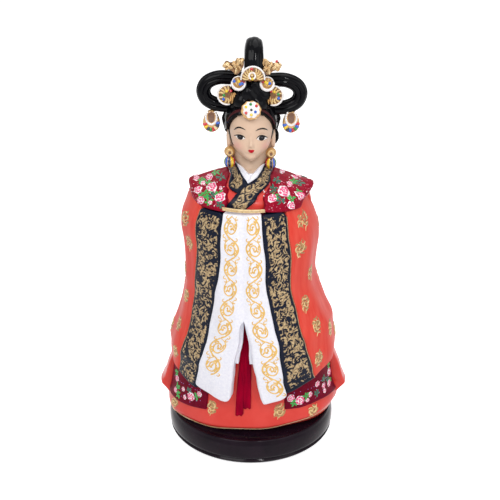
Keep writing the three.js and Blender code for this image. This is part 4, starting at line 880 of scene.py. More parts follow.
def rope(line, reference, across, along, lobes=0, groove=0.0, around=40, twist=0.0, phase=0.0):
    """Closed body of an oval section carried along a line of points: half sizes across and along the
    reference direction, with lengthwise grooves between a number of lobes that twist by turns of the whole
    length."""
    line = np.array(line, float)
    tangent = np.gradient(line, axis=0)
    side = np.cross(tangent, reference)
    side /= np.linalg.norm(side, axis=1, keepdims=True)
    up = np.cross(side, tangent)
    up /= np.linalg.norm(up, axis=1, keepdims=True)
    angle = np.arange(around) * 2 * np.pi / around
    turned_by = twist * 2 * np.pi * np.linspace(0, 1, len(line))[:, None]
    size = 1 - groove * (1 - np.abs(np.cos(lobes / 2 * angle + turned_by + phase))) ** 2
    across, along = (np.broadcast_to(value, len(line))[:, None] for value in (across, along))
    return ring_solid(line[:, None] + side[:, None] * (across * size * np.cos(angle))[..., None]
                      + up[:, None] * (along * size * np.sin(angle))[..., None])


roll_turn = np.linspace(-23.6, 15.8, 40)
droop = 0.5 * np.linspace(1, 0, 40)
rolls = []
for rise, radius, high in ((0.7, 0.5, 115.05), (0.75, 0.42, 114.3)):
    line = lifted(sleeve_sheet, -0.9)(roll_turn, 113.6, rise)
    line[:, 2] = BASE_TOP + high + droop
    size = radius * np.clip(np.sin(np.pi * np.linspace(0.02, 0.98, 40)) * 6, 0, 1) ** 0.5
    rolls.append((rope(line, (0, 0, 1), size, size, 3, 0.12, 24), roll_gold))
stand_in("hansam_roll", rolls)

# The collars and the white lining. Two flat navy bands cross on the chest, the wearer's left over the
# right, and meet behind the neck; gold brocade is dragged over their pattern, and the lining shows as a
# white V.

# The collars stand up round the neck above the slope of the chest
COLLAR = [
    *[row for row in FIGURE if 110 <= row[0] < 124], [124.2, -0.2, 10.8, 17, 7.9], [125.6, 0, 9.2, 16, 7.7],
    [127, 0, 8.2, 15, 7.4], [128.4, 0, 7.5, 14.2, 7.1], [130, 0, 7.0, 13.6, 6.8],
]
OVER_INNER = [
    [180, 127], [120, 127.2], [85, 128], [62, 129.2], [46, 128.8], [30, 126.9], [15, 124.7], [4, 123.3],
    [-5, 122.4], [-13.4, 119.5], [-25, 114.4],
]
OVER_OUTER = [
    [180, 123.4], [120, 123.6], [92, 124.2], [72, 125.2], [50, 124], [34, 122.6], [24, 121.5], [16, 120.4],
    [10, 119.1], [4.5, 117], [-4, 114.4],
]
UNDER_INNER = [
    [-180, 127], [-120, 127.2], [-86, 128], [-64, 129.2], [-48, 128.6], [-30, 126.7], [-14, 124.6],
    [-1, 122.7],
]
UNDER_OUTER = [
    [-180, 123.4], [-120, 123.6], [-90, 124.4], [-68, 124.8], [-46, 123.6], [-34, 122.4], [-26, 121.2],
    [-18, 120.4], [-9, 119.7],
]
LINING_LEFT = ([[-100, 127.6], [-64, 129.2], [-42, 127.8], [-24, 125.8], [-4, 123.2]],
               [[-100, 129], [-58, 130], [-34, 129.2], [-16, 127.8], [-1, 126.1]])
LINING_RIGHT = ([[-1, 126.1], [14, 127.7], [30, 129.1], [56, 130], [100, 129]],
                [[-4, 123.2], [18, 125.6], [38, 127.8], [62, 129.2], [100, 127.6]])


def strip(sheet, first, second, width, tall, depth, edge, step, figure=None):
    """Slab of a sheet between two smooth lines of (turn, height)."""
    share = stations(tall, edge, step)
    u, v = np.meshgrid(stations(width, edge, step), share, indexing="ij")

    def even(points):
        """A line read at even steps of its length, where a degree is 0.25 mm wide."""
        points = np.array(points, float)
        length = np.hypot(np.diff(points[:, 0]) * 0.25, np.diff(points[:, 1]))
        length = np.concatenate([[0], np.cumsum(length)])
        return through(np.column_stack([length, points]), share * length[-1])

    a, b = even(first), even(second)
    place = a[None] * (1 - u[..., None]) + b[None] * u[..., None]
    return slab(sheet, place[..., 0], place[..., 1], (u, v, width, tall), depth, edge, figure)


stand_sheet = sheet_of(COLLAR)
for side, rise, lines, size, depth, weave in (
    ("right", 1.5, (OVER_INNER, OVER_OUTER), (6.2, 44), 1.6, (0.85, 3.0, 5, 0.2, 0.1)),
    ("left", 1.3, (UNDER_INNER, UNDER_OUTER), (5.4, 34), 1.4, (0.85, 2.9, 8, 0.2, 0.1)),
):
    band, mark = strip(lifted(stand_sheet, rise), *lines, *size, depth, 0.5, 0.2, brocade(*weave))
    stand_in(f"collar_{side}", [(band, navy)], marks={"gold": mark})
linings = []
for lines in (LINING_LEFT, LINING_RIGHT):
    linings.append((strip(lifted(stand_sheet, 0.6), *lines, 2.6, 16, 1.0, 0.3, 0.4), white))
linings.append((loft(stand_sheet, [124.5, 125.5, 126.4, 127.0], 90), white))
stand_in("inner_collar", linings)

# The shoulder panels. Crimson paint over a raised yoke that runs over each shoulder to the back, strewn
# with peonies and leaves in the same brushwork as the hem.

SHOULDER = [
    [108, -0.9, 31, 33, 24], [112, -0.9, 29.4, 32.2, 23], [114.5, -0.9, 28.4, 31, 21.8],
    [117, -0.4, 28.9, 29.4, 19.2], [118.4, -0.6, 27.9, 27.7, 16], [119.6, -1.8, 25.4, 25.8, 13],
    [121, -1.5, 22.4, 24, 11], [122.4, -1.1, 18.6, 21.8, 10], [124, -0.4, 12.6, 18.9, 9.4],
    [126.5, 0, 10, 15.3, 9], [128.8, 0, 8.9, 10.8, 8],
]
SHOULDER_LOW = [
    [-165, 112], [-120, 115], [-97, 117.3], [-83, 117.8], [-75.2, 116.9], [-64.2, 114.4], [-50, 113.5],
    [-40, 113.7], [-33, 113.8], [-24.5, 113.9], [14, 114.4], [36.8, 112.9], [55, 112.3], [64, 114.4],
    [74, 117], [87.2, 117.3], [97, 117.2], [120, 115], [165, 112],
]
YOKE_TOP = 125.0
LEFT_FRONT = [[112, -24.5], [118.3, -22], [121.4, -24.2], [123.2, -42], [125, -67]]
RIGHT_FRONT = [[112, 14.5], [118.6, 13.5], [121.4, 24.5], [123.2, 40], [125, 57]]
SHOULDER_FLOWERS = [
    [-83.2, 120.4, 1.4], [-76.2, 122.3, 1.8], [-48, 121.1, 2.5], [-59.5, 118.9, 1.8], [-50.8, 115.9, 1.8],
    [-65.5, 120.9, 1.2], [-28.5, 119.0, 2.4], [-36, 121.6, 0.8], [-38, 116.4, 1.0],
    [84.8, 121.2, 1.8], [60.5, 121.1, 1.4], [42.2, 120.1, 2.6], [23.5, 118.9, 2.2], [54, 117.1, 1.9],
    [41, 115, 1.8], [93, 123.2, 1.2], [-140, 119, 2.4], [-118, 117, 1.8], [-150, 115.5, 1.6],
    [-100, 120, 1.6], [140, 119, 2.4], [118, 117, 1.8], [150, 115.5, 1.6], [104, 120, 1.6],
]
SHOULDER_LEAVES = [
    [-75, 121, 1], [-87.8, 123.1, 1], [-45, 118.9, 1], [-31.5, 119.9, 1], [-51.2, 117.3, 1],
    [-64, 123.4, 0], [-37.8, 118.9, 0], [-58, 121.5, 1], [-40, 116.5, 1], [-28, 116.5, 0], [72.2, 121, 1],
    [27.2, 119.3, 1], [40.5, 117.5, 1], [53.2, 123.2, 0], [75.5, 119.8, 0], [29, 117.9, 0], [54, 118.4, 1],
    [33, 121.5, 0], [-130, 117.5, 1], [-108, 118.5, 0], [-146, 117, 0], [130, 117.5, 1], [110, 118.5, 0],
    [146, 117, 0],
]


def yoke_form(turn, height):
    """Relief of the yoke: its outer corners stand out to a point, the left one a little higher."""
    left = 1.5 * np.exp(-((turn + 86) / 15) ** 2 - ((height - 119.2) / 1.1) ** 2)
    right = 1.5 * np.exp(-((turn - 84) / 15) ** 2 - ((height - 118.0) / 1.2) ** 2)
    return left + right + 0.12 * np.sin(np.radians(turn * 14 + height * 30))


shoulder_sheet = sheet_of(SHOULDER, yoke_form)
# Thinned pink lets the crimson through
dusty_pink = painted("thin pink brush marks", "#B8405E", "#C8607A", 0.4, patch=1.0, grain=0.3)
for side, sign, front, dabbed in (
    ("left", -1, LEFT_FRONT, (-82, -26)), ("right", 1, RIGHT_FRONT, (17, 86)),
):
    behind = [[height, sign * 180 - turn] for height, turn in front]
    borders = (front, behind)[::sign]
    yoke = panel(shoulder_sheet, *borders, SHOULDER_LOW, YOKE_TOP, depth=2.4, edge=0.7, step=0.9)
    flowers, tufts = on_side(SHOULDER_FLOWERS, sign), on_side(SHOULDER_LEAVES, sign)
    coats = [(yoke, crimson)]
    coats += embroidery(shoulder_sheet, flowers, tufts, 20, True)
    coats += [(body, petal_white) for body in dabs(shoulder_sheet, *dabbed, 115.5, 122.5, 44, 7)]
    coats += [(body, dusty_pink) for body in dabs(shoulder_sheet, *dabbed, 114.5, 123, 90, 8)]
    stand_in(f"shoulder_panel_{side}", coats)

# The head. Cast with the neck and the ears and sprayed a warm skin colour; the cheeks are blushed with an
# airbrush, and eyes, brows and lips are painted with a fine brush and dotted with a glint. The neck is
# painted darker, as painted shade under the chin and behind the jaw.

# Point of the chin, from which the head and all that hangs on it are measured
HEAD_AT = (0.0, -6.5, BASE_TOP + 134.0)
FACE = [
    [-0.9, 0, 0.9, 8.6, 1], [-0.4, 0, 2.4, 9.6, 2.4], [0, 0, 3.8, 10, 3], [1.3, 0, 5.7, 10.7, 6],
    [4.2, 0, 8.1, 11, 8.6], [8.8, 0, 9.6, 10.7, 10.6], [13, 0, 10.2, 10.7, 11.3],
    [17.5, 0, 10.1, 10.6, 11.2], [21, 0, 8.9, 9.3, 10], [24, 0, 6.2, 6.8, 7.6], [26, 0, 2, 2.4, 2.6],
]
NECK = [
    [-15, 0, 4.2, 5.2, 4], [-9, 0, 4.5, 7.6, 4.6], [-6.6, 0, 5, 7.9, 5], [-4.8, 0, 5.8, 6.4, 5.1],
    [-3.4, 0, 7.2, 5.8, 5.2], [-1.4, 0, 8.4, 5, 5.6], [1, 0, 9.1, 4.8, 6], [6, 0, 9.9, 4.8, 6],
]
EAR_MIDDLE = [9.9, 0.0, 7.2]
EAR_RADII = [1.5, 2.1, 4.4]
LEFT_EYE = [
    [-7.1, 10.25], [-6.1, 10.9], [-4.7, 11.15], [-3.4, 10.8], [-2.6, 10.0], [-3.4, 9.45], [-4.8, 9.15],
    [-6.1, 9.4],
]
RIGHT_EYE = [
    [2.5, 9.8], [3.5, 10.7], [4.85, 10.95], [6.3, 10.25], [7.4, 9.3], [6.2, 8.85], [4.8, 8.75], [3.5, 9.05],
]
LEFT_LID = [[-7.75, 10.35], [-6.3, 11.05], [-4.7, 11.3], [-3.4, 10.95], [-2.6, 10.05]]
RIGHT_LID = [[2.4, 9.86], [3.5, 10.9], [4.85, 11.12], [6.3, 10.43], [7.6, 9.35]]
LEFT_BROW = [[-7.6, 13.05], [-6.3, 14.4], [-5.1, 14.95], [-3.7, 14.7], [-2.25, 13.95]]
RIGHT_BROW = [[1.95, 13.5], [3.5, 14.35], [5.15, 14.4], [6.5, 13.8], [7.5, 12.95]]
IRISES = [[-4.9, 10.35], [4.85, 9.9]]
IRIS_RADII = [1.4, 1.12]
LIPS = [
    [-1.35, 4.7], [-0.7, 5.18], [0.08, 5.1], [0.88, 5.18], [1.45, 4.75], [1.0, 4.0], [0.45, 3.7],
    [-0.2, 3.7], [-0.8, 4.05],
]
BLUSHES = [[-6.1, 6.2], [6.6, 6.1]]
BLUSH_RADII = [2.3, 2.0]


def face_form(turn, height):
    """Relief of the face over its oval, a sum of round hills and hollows exp(-(x/a)^2 - (z/b)^2): nose,
    wings, eye sockets, lids, cheeks, lips and chin."""
    x = through(FACE, height)[..., 1] * np.sin(np.radians(turn))
    front = np.clip(np.cos(np.radians(turn)) * 4, 0, 1)
    rise = np.zeros(np.shape(x))
    for at_x, at_z, wide, tall, amount in (
        (0, 6.9, 0.95, 1.1, 1.0), (0, 8.6, 0.9, 1.9, 0.6), (0, 11.0, 0.9, 2.2, 0.2),
        (0.9, 6.4, 0.55, 0.6, 0.25), (4.7, 10.4, 2.9, 1.7, -0.55), (4.7, 10.4, 2.2, 1.2, 0.35),
        (4.9, 14.4, 3.2, 1.3, 0.25), (5.6, 6.0, 2.4, 2.4, 0.3), (0.1, 4.5, 2.4, 1.5, 0.35),
        (0.1, 4.55, 1.7, 0.18, -0.22), (0.1, 5.9, 0.4, 0.6, -0.15), (0, 2.9, 1.8, 0.6, -0.2),
        (0, 1.2, 2.0, 1.3, 0.35),
    ):
        for side in ((-1, 1) if at_x > 0.5 else (1,)):
            rise = rise + amount * np.exp(-((x - side * at_x) / wide) ** 2 - ((height - at_z) / tall) ** 2)
    return rise * front


def ball(centre, radii, relief=None, around=32, rows=17):
    """Ball of three radii, with a relief of the unit direction."""
    up = np.pi * (np.arange(rows) + 0.5)[:, None] / rows
    turn = np.arange(around)[None] * 2 * np.pi / around
    way = np.stack([np.sin(up) * np.sin(turn), -np.sin(up) * np.cos(turn), -np.cos(up) + 0 * turn], -1)
    size = 1 + (relief(way)[..., None] if relief else 0)
    return ring_solid(np.array(centre) + way * np.array(radii) * size)


def shell(side):
    """Relief of an ear by direction (x, y, z): a rim of 0.10 where y^2 + z^2 is near 0.75 and a hollow of
    0.25 within it, on the outer side only."""
    def relief(way):
        """Rim less hollow in the unit direction way."""
        within = way[..., 1] ** 2 + way[..., 2] ** 2
        rim = 0.10 * np.exp(-(within - 0.75) ** 2 / 0.03)
        return (rim - 0.25 * np.exp(-within / 0.2)) * (way[..., 0] * side > 0)
    return relief


def from_chin(place):
    """Place of the head's own measure, taken to the figure."""
    return np.array(place) + np.array(HEAD_AT)


# An airbrush leaves no brush marks, and satin lacquer gives the cheeks a faint shine; the eyes and lips
# are glossier than the skin round them
skin = painted("airbrushed skin paint, satin", "#DABBA2", "#D3B297", 0.42, patch=5.0, grain=0.5,
               relief=0.02, marked=("blush", "#E0968C", "#E0968C", 0.42, 0.0), Coat_Weight=0.15,
               Coat_Roughness=0.3)
# The neck is painted darker than the face as painted shade under the chin; its shade mark is painted shade
# behind the jaw
skin_painted_shade = painted("skin paint darkened as painted shade under the chin", "#C6AB93", "#BC9E85", 0.45, patch=4.0,
                     grain=0.5, marked=("shade", "#92725F", "#80624E", 0.5, 0.0))
eye_white = painted("white eye paint", "#F4EEE8", "#E9DFD8", 0.3, patch=1.0, grain=0.3)
iris_dark = painted("dark brown eye paint", "#0C0A10", "#1A1418", 0.3, patch=0.6, grain=0.3,
                    Specular_IOR_Level=0.2)
glint = painted("grey glint in the eye", "#6E7480", "#5A606C", 0.3, patch=0.6, grain=0.2)
line_black = painted("fine black brush line", "#0E0A0C", "#1C1618", 0.35, patch=0.6, grain=0.2,
                     Specular_IOR_Level=0.2)
lid_brown = painted("thin brown brush line", "#A57A60", "#B98C70", 0.4, patch=0.6, grain=0.2)
lip_red = painted("red lip paint", "#A80018", "#C01028", 0.3, patch=0.7, grain=0.3, Specular_IOR_Level=0.15)
face_sheet = sheet_of(FACE, face_form, origin=HEAD_AT)


def on_face(a, b, c):
    """Place of the painted face: a to the right and b up from the chin, c out of the skin."""
    a, b = np.broadcast_arrays(np.asarray(a, float), np.asarray(b, float))
    return face_sheet(np.degrees(np.arcsin(np.clip(a / through(FACE, b)[..., 1], -0.999, 0.999))), b, c)


face_turns = np.concatenate([np.arange(-66, 66, 1.1), np.arange(66, 294, 4.0)])
face_heights = np.concatenate([np.linspace(-0.9, 16, 110), np.linspace(16.4, 26, 24)])
skull = loft(face_sheet, face_heights, face_turns)
grid_turn, grid_height = np.meshgrid(face_turns, face_heights)
grid_x = through(FACE, grid_height)[..., 1] * np.sin(np.radians(grid_turn))
# The blushes fade by exp(-(x/a)^2 - (z/b)^2)
wide, tall = BLUSH_RADII
blush = sum(np.exp(-((grid_x - x) / wide) ** 2 - ((grid_height - z) / tall) ** 2) for x, z in BLUSHES)
blush = np.where(np.cos(np.radians(grid_turn)) > 0, 0.55 * blush, 0)
neck_sheet = sheet_of(NECK, origin=HEAD_AT)
neck_heights = np.linspace(-15, 6, 54)[:, None]
neck = loft(neck_sheet, neck_heights[:, 0], 90)
neck_turns = np.abs((np.arange(90) * 4 + 180) % 360 - 180)[None]
# Painted shade: the skin is darkened to brown in the hollows behind the jaw on both sides
shade = np.clip((neck_turns - 34) / 22, 0, 1) * np.clip((130 - neck_turns) / 15, 0, 1)
shade = shade * np.clip((neck_heights + 6.5) / 3, 0, 1)
coats = [(skull, skin), (neck, skin_painted_shade)]
for side in (-1, 1):
    middle = from_chin([side * EAR_MIDDLE[0], *EAR_MIDDLE[1:]])
    coats.append((ball(middle, EAR_RADII, shell(side), 48, 33), skin))
for eye, lid, brow, (x, z), side in (
    (LEFT_EYE, LEFT_LID, LEFT_BROW, IRISES[0], -1), (RIGHT_EYE, RIGHT_LID, RIGHT_BROW, IRISES[1], 1),
):
    rim = curve([*eye, eye[0]], 41)[:-1]
    lower = curve([eye[0], *eye[:4:-1], eye[4]], 20)
    crease = curve([[a + side * 0.2, b + 1.15] for a, b in lid[1:4]], 16)
    iris, spark = oval(x, z, *IRIS_RADII, count=30), oval(x + 0.05, z + 0.3, 0.2, 0.17, count=12)
    coats += [
        (blob(on_face, rim, 0.12, 0.2), eye_white),
        (blob(lifted(on_face, 0.06), iris, 0.14, 0.2), iris_dark),
        (blob(lifted(on_face, 0.16), spark, 0.08, 0.1), glint),
        (bead(on_face, curve(lid, 24), 0.6, 0.22, 0.45), line_black),
        (bead(on_face, lower, 0.16, 0.1, 0.5), lid_brown),
        (bead(on_face, crease, 0.16, 0.08, 0.6), lid_brown),
        (bead(on_face, curve(brow, 24), 0.72, 0.13, 0.7), line_black),
    ]
coats.append((blob(on_face, curve([*LIPS, LIPS[0]], 41)[:-1], 0.22, 0.25), lip_red))
counts = sum(len(body[0]) for body, _ in coats)
marks = {"blush": np.zeros(counts), "shade": np.zeros(counts)}
marks["blush"][:blush.size] = blush.ravel()
marks["shade"][len(skull[0]):len(skull[0]) + shade.size] = shade.ravel()
stand_in("head", coats, marks=marks)

# The hair. Cast in one with the head and brushed with glossy black: a combed cap with thin sideburns before
# the ears, a lumpy knot on the crown, two looped braids at the sides, one upright, and a small bun at the
# nape.

HAIR = [
    [-1, 0, 7.0, 9.0, 8.6], [3.2, 0, 9, 12.3, 10.5], [7.8, 0, 11.3, 12.03, 12.5],
    [13.9, 0, 11.7, 12.03, 13.2], [18.4, 0, 11.4, 11.93, 13.1], [21.9, 0, 10.3, 10.63, 11.9],
    [24.9, 0, 7.9, 8.13, 9.5], [26.9, 0, 3.9, 3.73, 4.5],
]
HAIRLINE = [
    [0, 21.8], [18, 21.5], [37, 20.1], [52, 17.4], [64, 14.2], [72, 12.2], [82, 11.8], [95, 11], [106, 5],
    [125, 2.5], [180, 1.5],
]
KNOT = [
    [20, 0.3, 9, 8.6, 9], [24, 0.3, 10.4, 10.4, 10], [28, 0.4, 10, 9.8, 10], [32, 0.6, 8.4, 8.6, 9],
    [35.5, 0.9, 6, 6.8, 7.5], [37.5, 1.1, 3.6, 4.4, 5],
]
LOOPS = {
    "left": [
        [-3, 0.5, 34.0], [-9, 0.5, 34.8], [-15, 0.5, 34.7], [-19.5, 0.5, 32.6], [-21.2, 0.5, 29],
        [-19.8, 0.5, 25.1], [-15.5, 0.5, 22.8], [-10, 0.5, 22.3], [-3, 0.5, 23],
    ],
    "right": [
        [3, 0.5, 33], [9.4, 0.5, 33.7], [15.6, 0.5, 33.6], [20.4, 0.5, 31.3], [22, 0.5, 27.8],
        [20.4, 0.5, 23.9], [16, 0.5, 21.6], [10.4, 0.5, 21.2], [3, 0.5, 22],
    ],
    "top": [
        [1.3, -2, 32], [1.3, -4.4, 38], [1.3, -4.2, 43], [1.3, -1.4, 48], [1.3, 3.4, 49.6], [1.3, 8, 47],
        [1.3, 10, 42], [1.3, 9, 37], [1.3, 5, 32],
    ],
}
SIDEBURNS = [[[-10, 15.5], [-9.95, 13], [-9.6, 10.2], [-9.0, 7.8], [-8.3, 6.2], [-7.8, 5.2]],
             [[10.05, 15.5], [9.98, 13], [9.7, 10.5], [9.2, 8.4], [8.9, 7.4]]]
# Loose locks that hang behind the ears
LOCKS = [
    [[-11.6, 2.5, 19], [-12.4, 2.2, 16], [-11.9, 2.4, 13], [-11.6, 2.6, 10.4]],
    [[11.8, 2.5, 19], [12.6, 2.2, 16], [12, 2.4, 13], [11.8, 2.6, 10.4]],
    [[11.3, 2.5, 11], [11.8, 2.2, 9], [11.9, 2.2, 6.6], [11.2, 2.6, 4]],
]


def combed(turn, height):
    """Combed strands that run up to the knot, in ridges of two widths, and small curls behind the ears."""
    bend = turn + 5 * np.sin(height * 0.35)
    strands = 0.11 * np.abs(np.sin(np.radians(bend * 9))) + 0.07 * np.sin(np.radians(bend * 23))
    behind = np.exp(-((np.abs((turn + 180) % 360 - 180) - 96) / 12) ** 2)
    return strands + behind * 0.45 * np.sin(height * 1.9) * np.clip((20 - height) / 4, 0, 1)


def knotted(turn, height):
    """Lumps of the wound knot: ridges that climb round it, broken by slower swellings."""
    wound = np.abs(np.sin(np.radians(turn * 2.5 + height * 22 + 30 * np.sin(np.radians(turn * 2)))))
    return 0.9 * wound ** 0.8 - 0.6 + 0.35 * np.sin(np.radians(turn * 5 - height * 30))


def coiled(way):
    """Relief of the bun by direction (x, y, z): ridges 0.05 |sin(6 angle(x, z) + 9 y)| that wind
    inwards."""
    return 0.05 * np.abs(np.sin(6 * np.arctan2(way[..., 0], way[..., 2]) + 9 * way[..., 1])) - 0.03


# Thick gloss black levels out and mirrors the lights as bright lines along the strands
hair = painted("gloss black hair paint", "#030306", "#08080D", 0.08, patch=4.0, grain=1.6, relief=0.06,
               Specular_IOR_Level=0.09)
hair_sheet = sheet_of(HAIR, combed, origin=HEAD_AT)
turns = np.arange(0, 360, 1.25)
folded = np.abs((turns + 180) % 360 - 180)
hairline = np.interp(folded, *np.array(HAIRLINE, float).T)
share = np.concatenate([np.linspace(0, 0.97, 60), [0.985, 0.995, 1.0, 1.0]])[:, None]
cap_heights = 26.9 * (1 - share) + hairline * share
roll_in = np.concatenate([np.zeros(60), [-0.12, -0.4, -0.9, -3.0]])[:, None]
cap = ring_solid(hair_sheet(turns[None, :], cap_heights, roll_in))
coats = [(cap, hair)]
for strand in SIDEBURNS:
    coats.append((bead(on_face, curve(strand, 24), 0.6, 0.35, 0.4), hair))
width = 0.85 * np.sin(np.pi * np.linspace(0.12, 0.97, 30)) ** 0.6
for lock in LOCKS:
    line = curve([from_chin(place) for place in lock], 30)
    coats.append((rope(line, (0, 1, 0), width, width, 2, 0.2, 20, 1.5), hair))
stand_in("hair_cap", coats, "combed")
knot = loft(sheet_of(KNOT, knotted, origin=HEAD_AT), np.linspace(20, 37.5, 70), 200)
stand_in("hair_knot", [(knot, hair)], "wound")
# The upright loop is thinner at the top of its arch
arch = 1 - 0.13 * np.exp(-((np.linspace(0, 1, 130) - 0.47) / 0.13) ** 2)
for name, reference, across, along, lobes, groove, twist in (
    ("left", (0, -1, 0), 3.25, 3.0, 5, 0.21, 0.1), ("right", (0, -1, 0), 3.25, 3.0, 5, 0.21, 0.1),
    ("top", (1, 0, 0), 2.7, 4.35 * arch, 6, 0.07, 0.03),
):
    line = curve([from_chin(place) for place in LOOPS[name]], 130)
    loop = rope(line, reference, across, along, lobes, groove, 84, twist, 0.5)
    stand_in(f"hair_loop_{name}", [(loop, hair)], "combed")
bun_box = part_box("hair_bun")
bun_middle = [(low + high) / 2 / MM for low, high in zip(*bun_box)]
bun_radii = [(high - low) / 2 / MM for low, high in zip(*bun_box)]
stand_in("hair_bun", [(ball(bun_middle, bun_radii, coiled, 90, 45), hair)], "coiled")
RIBBONS = {
    "left": [[-16, 23.2], [-23, 22.8], [-40, 21.6], [-52, 19.8], [-62, 16.8]],
    "right": [[14, 23.2], [27, 22.6], [41, 21.0], [54, 18.2], [62, 15.4]],
}
# Dark red over black, with a low gloss
ribbon_red = painted("dark red ribbon paint", "#30080E", "#481016", 0.3, patch=1.2, grain=0.3,
                     Specular_IOR_Level=0.15)
smooth_hair = sheet_of(HAIR, origin=HEAD_AT)
for side, line in RIBBONS.items():
    ribbon = bead(lifted(smooth_hair, 0.15), curve(line, 40), 1.3, 0.45, 0.2)
    stand_in(f"hair_ribbon_{side}", [(ribbon, ribbon_red)])

# The hair ornaments. Relief on the casting: gold paint, white rims and dots of bright enamel put on with a
# pointed stick, so that each stands as a small bead.

ORNAMENT_TILT = -14.0
ROSETTE_PLACE = [0.15, -10.4, 23.1]
FAN_TOP_PLACE = [0.8, -7.8, 36.2]
CRESCENT_PLACES = [[-5.5, -5.6, 33.9], [7.1, -5.6, 33.6]]
FAN_PLACES = [[-10.4, -4.1, 28.2], [9.8, -4.1, 27.8]]
BUTTERFLY_PLACES = [[-7.6, -3.4, 40.4], [8.6, -3.4, 40.1]]
ROSETTE_DOTS = [[-0.3, 2.4, "green"], [2.2, 1.7, "red"], [1.75, -0.85, "blue"], [0, -2.1, "yellow"],
                [-2.3, -1.3, "red"], [-2.3, 1.3, "yellow"], [0, 0, "black"]]
CRESCENT_DOTS = [
    [[-1.8, 0.7, "blue"], [0.3, 0.6, "yellow"], [1.6, 0.8, "red"], [2.4, 0.5, "red"], [0.8, -0.6, "blue"],
     [1.7, -0.2, "blue"]],
    [[-2, 0.8, "red"], [-0.8, 0.6, "yellow"], [-0.1, 0.1, "yellow"], [1.0, 0.0, "blue"]],
]
FAN_DOTS = [[[-0.3, 1.6, "yellow"], [1.5, 1.7, "red"], [-1.5, -0.2, "green"], [-1.7, -1.9, "blue"]],
            [[-1, 2.0, "red"], [0.4, 1.7, "yellow"], [2.2, 0.6, "green"], [2.3, -1.1, "blue"]]]
# Start and end of each rib of the shell under a side fan
FEATHERS = [
    [0.2, 0.4, -0.6, -4.4], [0.9, 0.7, 0.8, -4.3], [1.6, 0.9, 2.0, -3.8], [2.3, 1.0, 3.1, -3.1],
    [2.9, 1.0, 4.1, -2.3],
]
BUTTERFLY_OUTLINE = [
    [-4.7, 1.0], [-3.5, 2.7], [-1.4, 2.1], [0.4, 2.5], [1.9, 3.8], [4.4, 3.7], [4.7, 0.5], [3.6, -1.3],
    [2.0, -3.3], [0.7, -3.2], [-0.9, -1.8], [-3.8, -0.6],
]
BUTTERFLY_LOBES = [
    [-3.2, 1.0, 1.9, 1.3, 0.5], [-1.6, 0.2, 1.9, 1.1, -0.7], [0.2, 0.9, 1.3, 1.8, 0.3],
    [1.9, 2.2, 1.3, 1.9, -0.4], [3.6, 2.2, 1.1, 2.0, -0.1], [1.1, -1.5, 1.1, 2.0, -0.2],
    [2.6, -0.6, 1.0, 1.7, 0.5], [-2.6, -0.5, 1.5, 0.8, 0.3],
]


def on_plane(place, spin=0.0, tilt=ORNAMENT_TILT):
    """Map from (a, b, c) on a plate that faces forward, tipped back by tilt and turned by spin, to the
    figure."""
    lean = np.radians(90 + tilt)
    place = from_chin(place)

    def at(a, b, c):
        """Place after the turn by spin in the plate and the turn by lean about the sideways axis."""
        a, b, c = np.broadcast_arrays(np.asarray(a, float), np.asarray(b, float), np.asarray(c, float))
        x, y = a * np.cos(spin) - b * np.sin(spin), a * np.sin(spin) + b * np.cos(spin)
        deep, high = y * np.cos(lean) - c * np.sin(lean), y * np.sin(lean) + c * np.cos(lean)
        return place + np.stack([x, deep, high], -1)
    return at


def enamel_dots(at, dots, rise, radius=0.62):
    """Coats of round drops of enamel at places (a, b, colour)."""
    coats = []
    for a, b, colour in dots:
        drop = oval(a, b, radius, radius, count=16)
        coats.append((blob(lifted(at, rise), drop, radius * 0.7, 0.4), enamel[colour]))
    return coats


# Enamel dries in round drops that look wet
enamel = {
    name: painted(f"{name} enamel", colour, shade, 0.16, patch=0.8, grain=0.4, relief=0.02, Coat_Weight=0.5)
    for name, colour, shade in (
        ("red", "#D01826", "#B81020"), ("blue", "#1C63D6", "#1450B4"), ("green", "#1B8E34", "#157A2A"),
        ("yellow", "#F2D02A", "#E6BC1C"), ("black", "#121014", "#1C181C"), ("white", "#F6F3F2", "#EAE4E2"),
        ("navy", "#16244E", "#101A3A"), ("cream", "#F0DEB4", "#E4CB98"), ("brown", "#7A4A22", "#5C3416"),
    )
}
# Gold powder paint on the ornaments. The dark gold between the ribs of the fans and in the creases of the
# wings is painted shade, and the pale gold on the folds of the wings is painted highlight
ornament_gold = painted("gold paint on raised relief", "#D6AC70", "#B98A52", 0.3, patch=1.2, grain=0.35,
                        relief=0.05, Metallic=0.35, Coat_Weight=0.3, Coat_Roughness=0.2)
painted_shade_gold = painted("gold paint darkened as painted shade in the hollows", "#84592E", "#54351A", 0.4, patch=1.0,
                    grain=0.35, Metallic=0.3)
ochre = painted("gold paint over brown", "#B98A4C", "#7E5A30", 0.36, patch=0.9, grain=0.35, Metallic=0.3)
painted_highlight_gold = painted("pale gold as painted highlight on the folds of the wings", "#EED6A8", "#B88A50", 0.28, patch=1.4, grain=0.9,
                    relief=0.1, Metallic=0.2)
PLATE = [[0.94, 0.0], [1.0, 0.3], [1.0, 1.5], [0.97, 1.85], [0.9, 2.05], [0.6, 2.1]]
at = on_plane(ROSETTE_PLACE)
coats = [(pressed(at, oval(-0.1, -0.25, 4.4, 4.15, 0, 10, 0.03, 96), PLATE), ornament_gold)]
for k in range(8):
    angle = (k + 0.5) * np.pi / 4
    petal = oval(2.6 * np.cos(angle), 2.5 * np.sin(angle), 1.25, 1.25, angle, count=24)
    coats.append((blob(lifted(at, 2.0), petal, 0.6), enamel["white"]))
coats.append((blob(lifted(at, 2.0), oval(0, 0, 3.4, 3.3, count=48), 0.95), enamel["white"]))
coats += enamel_dots(at, ROSETTE_DOTS, 2.7, 0.66)
stand_in("forehead_rosette", coats)


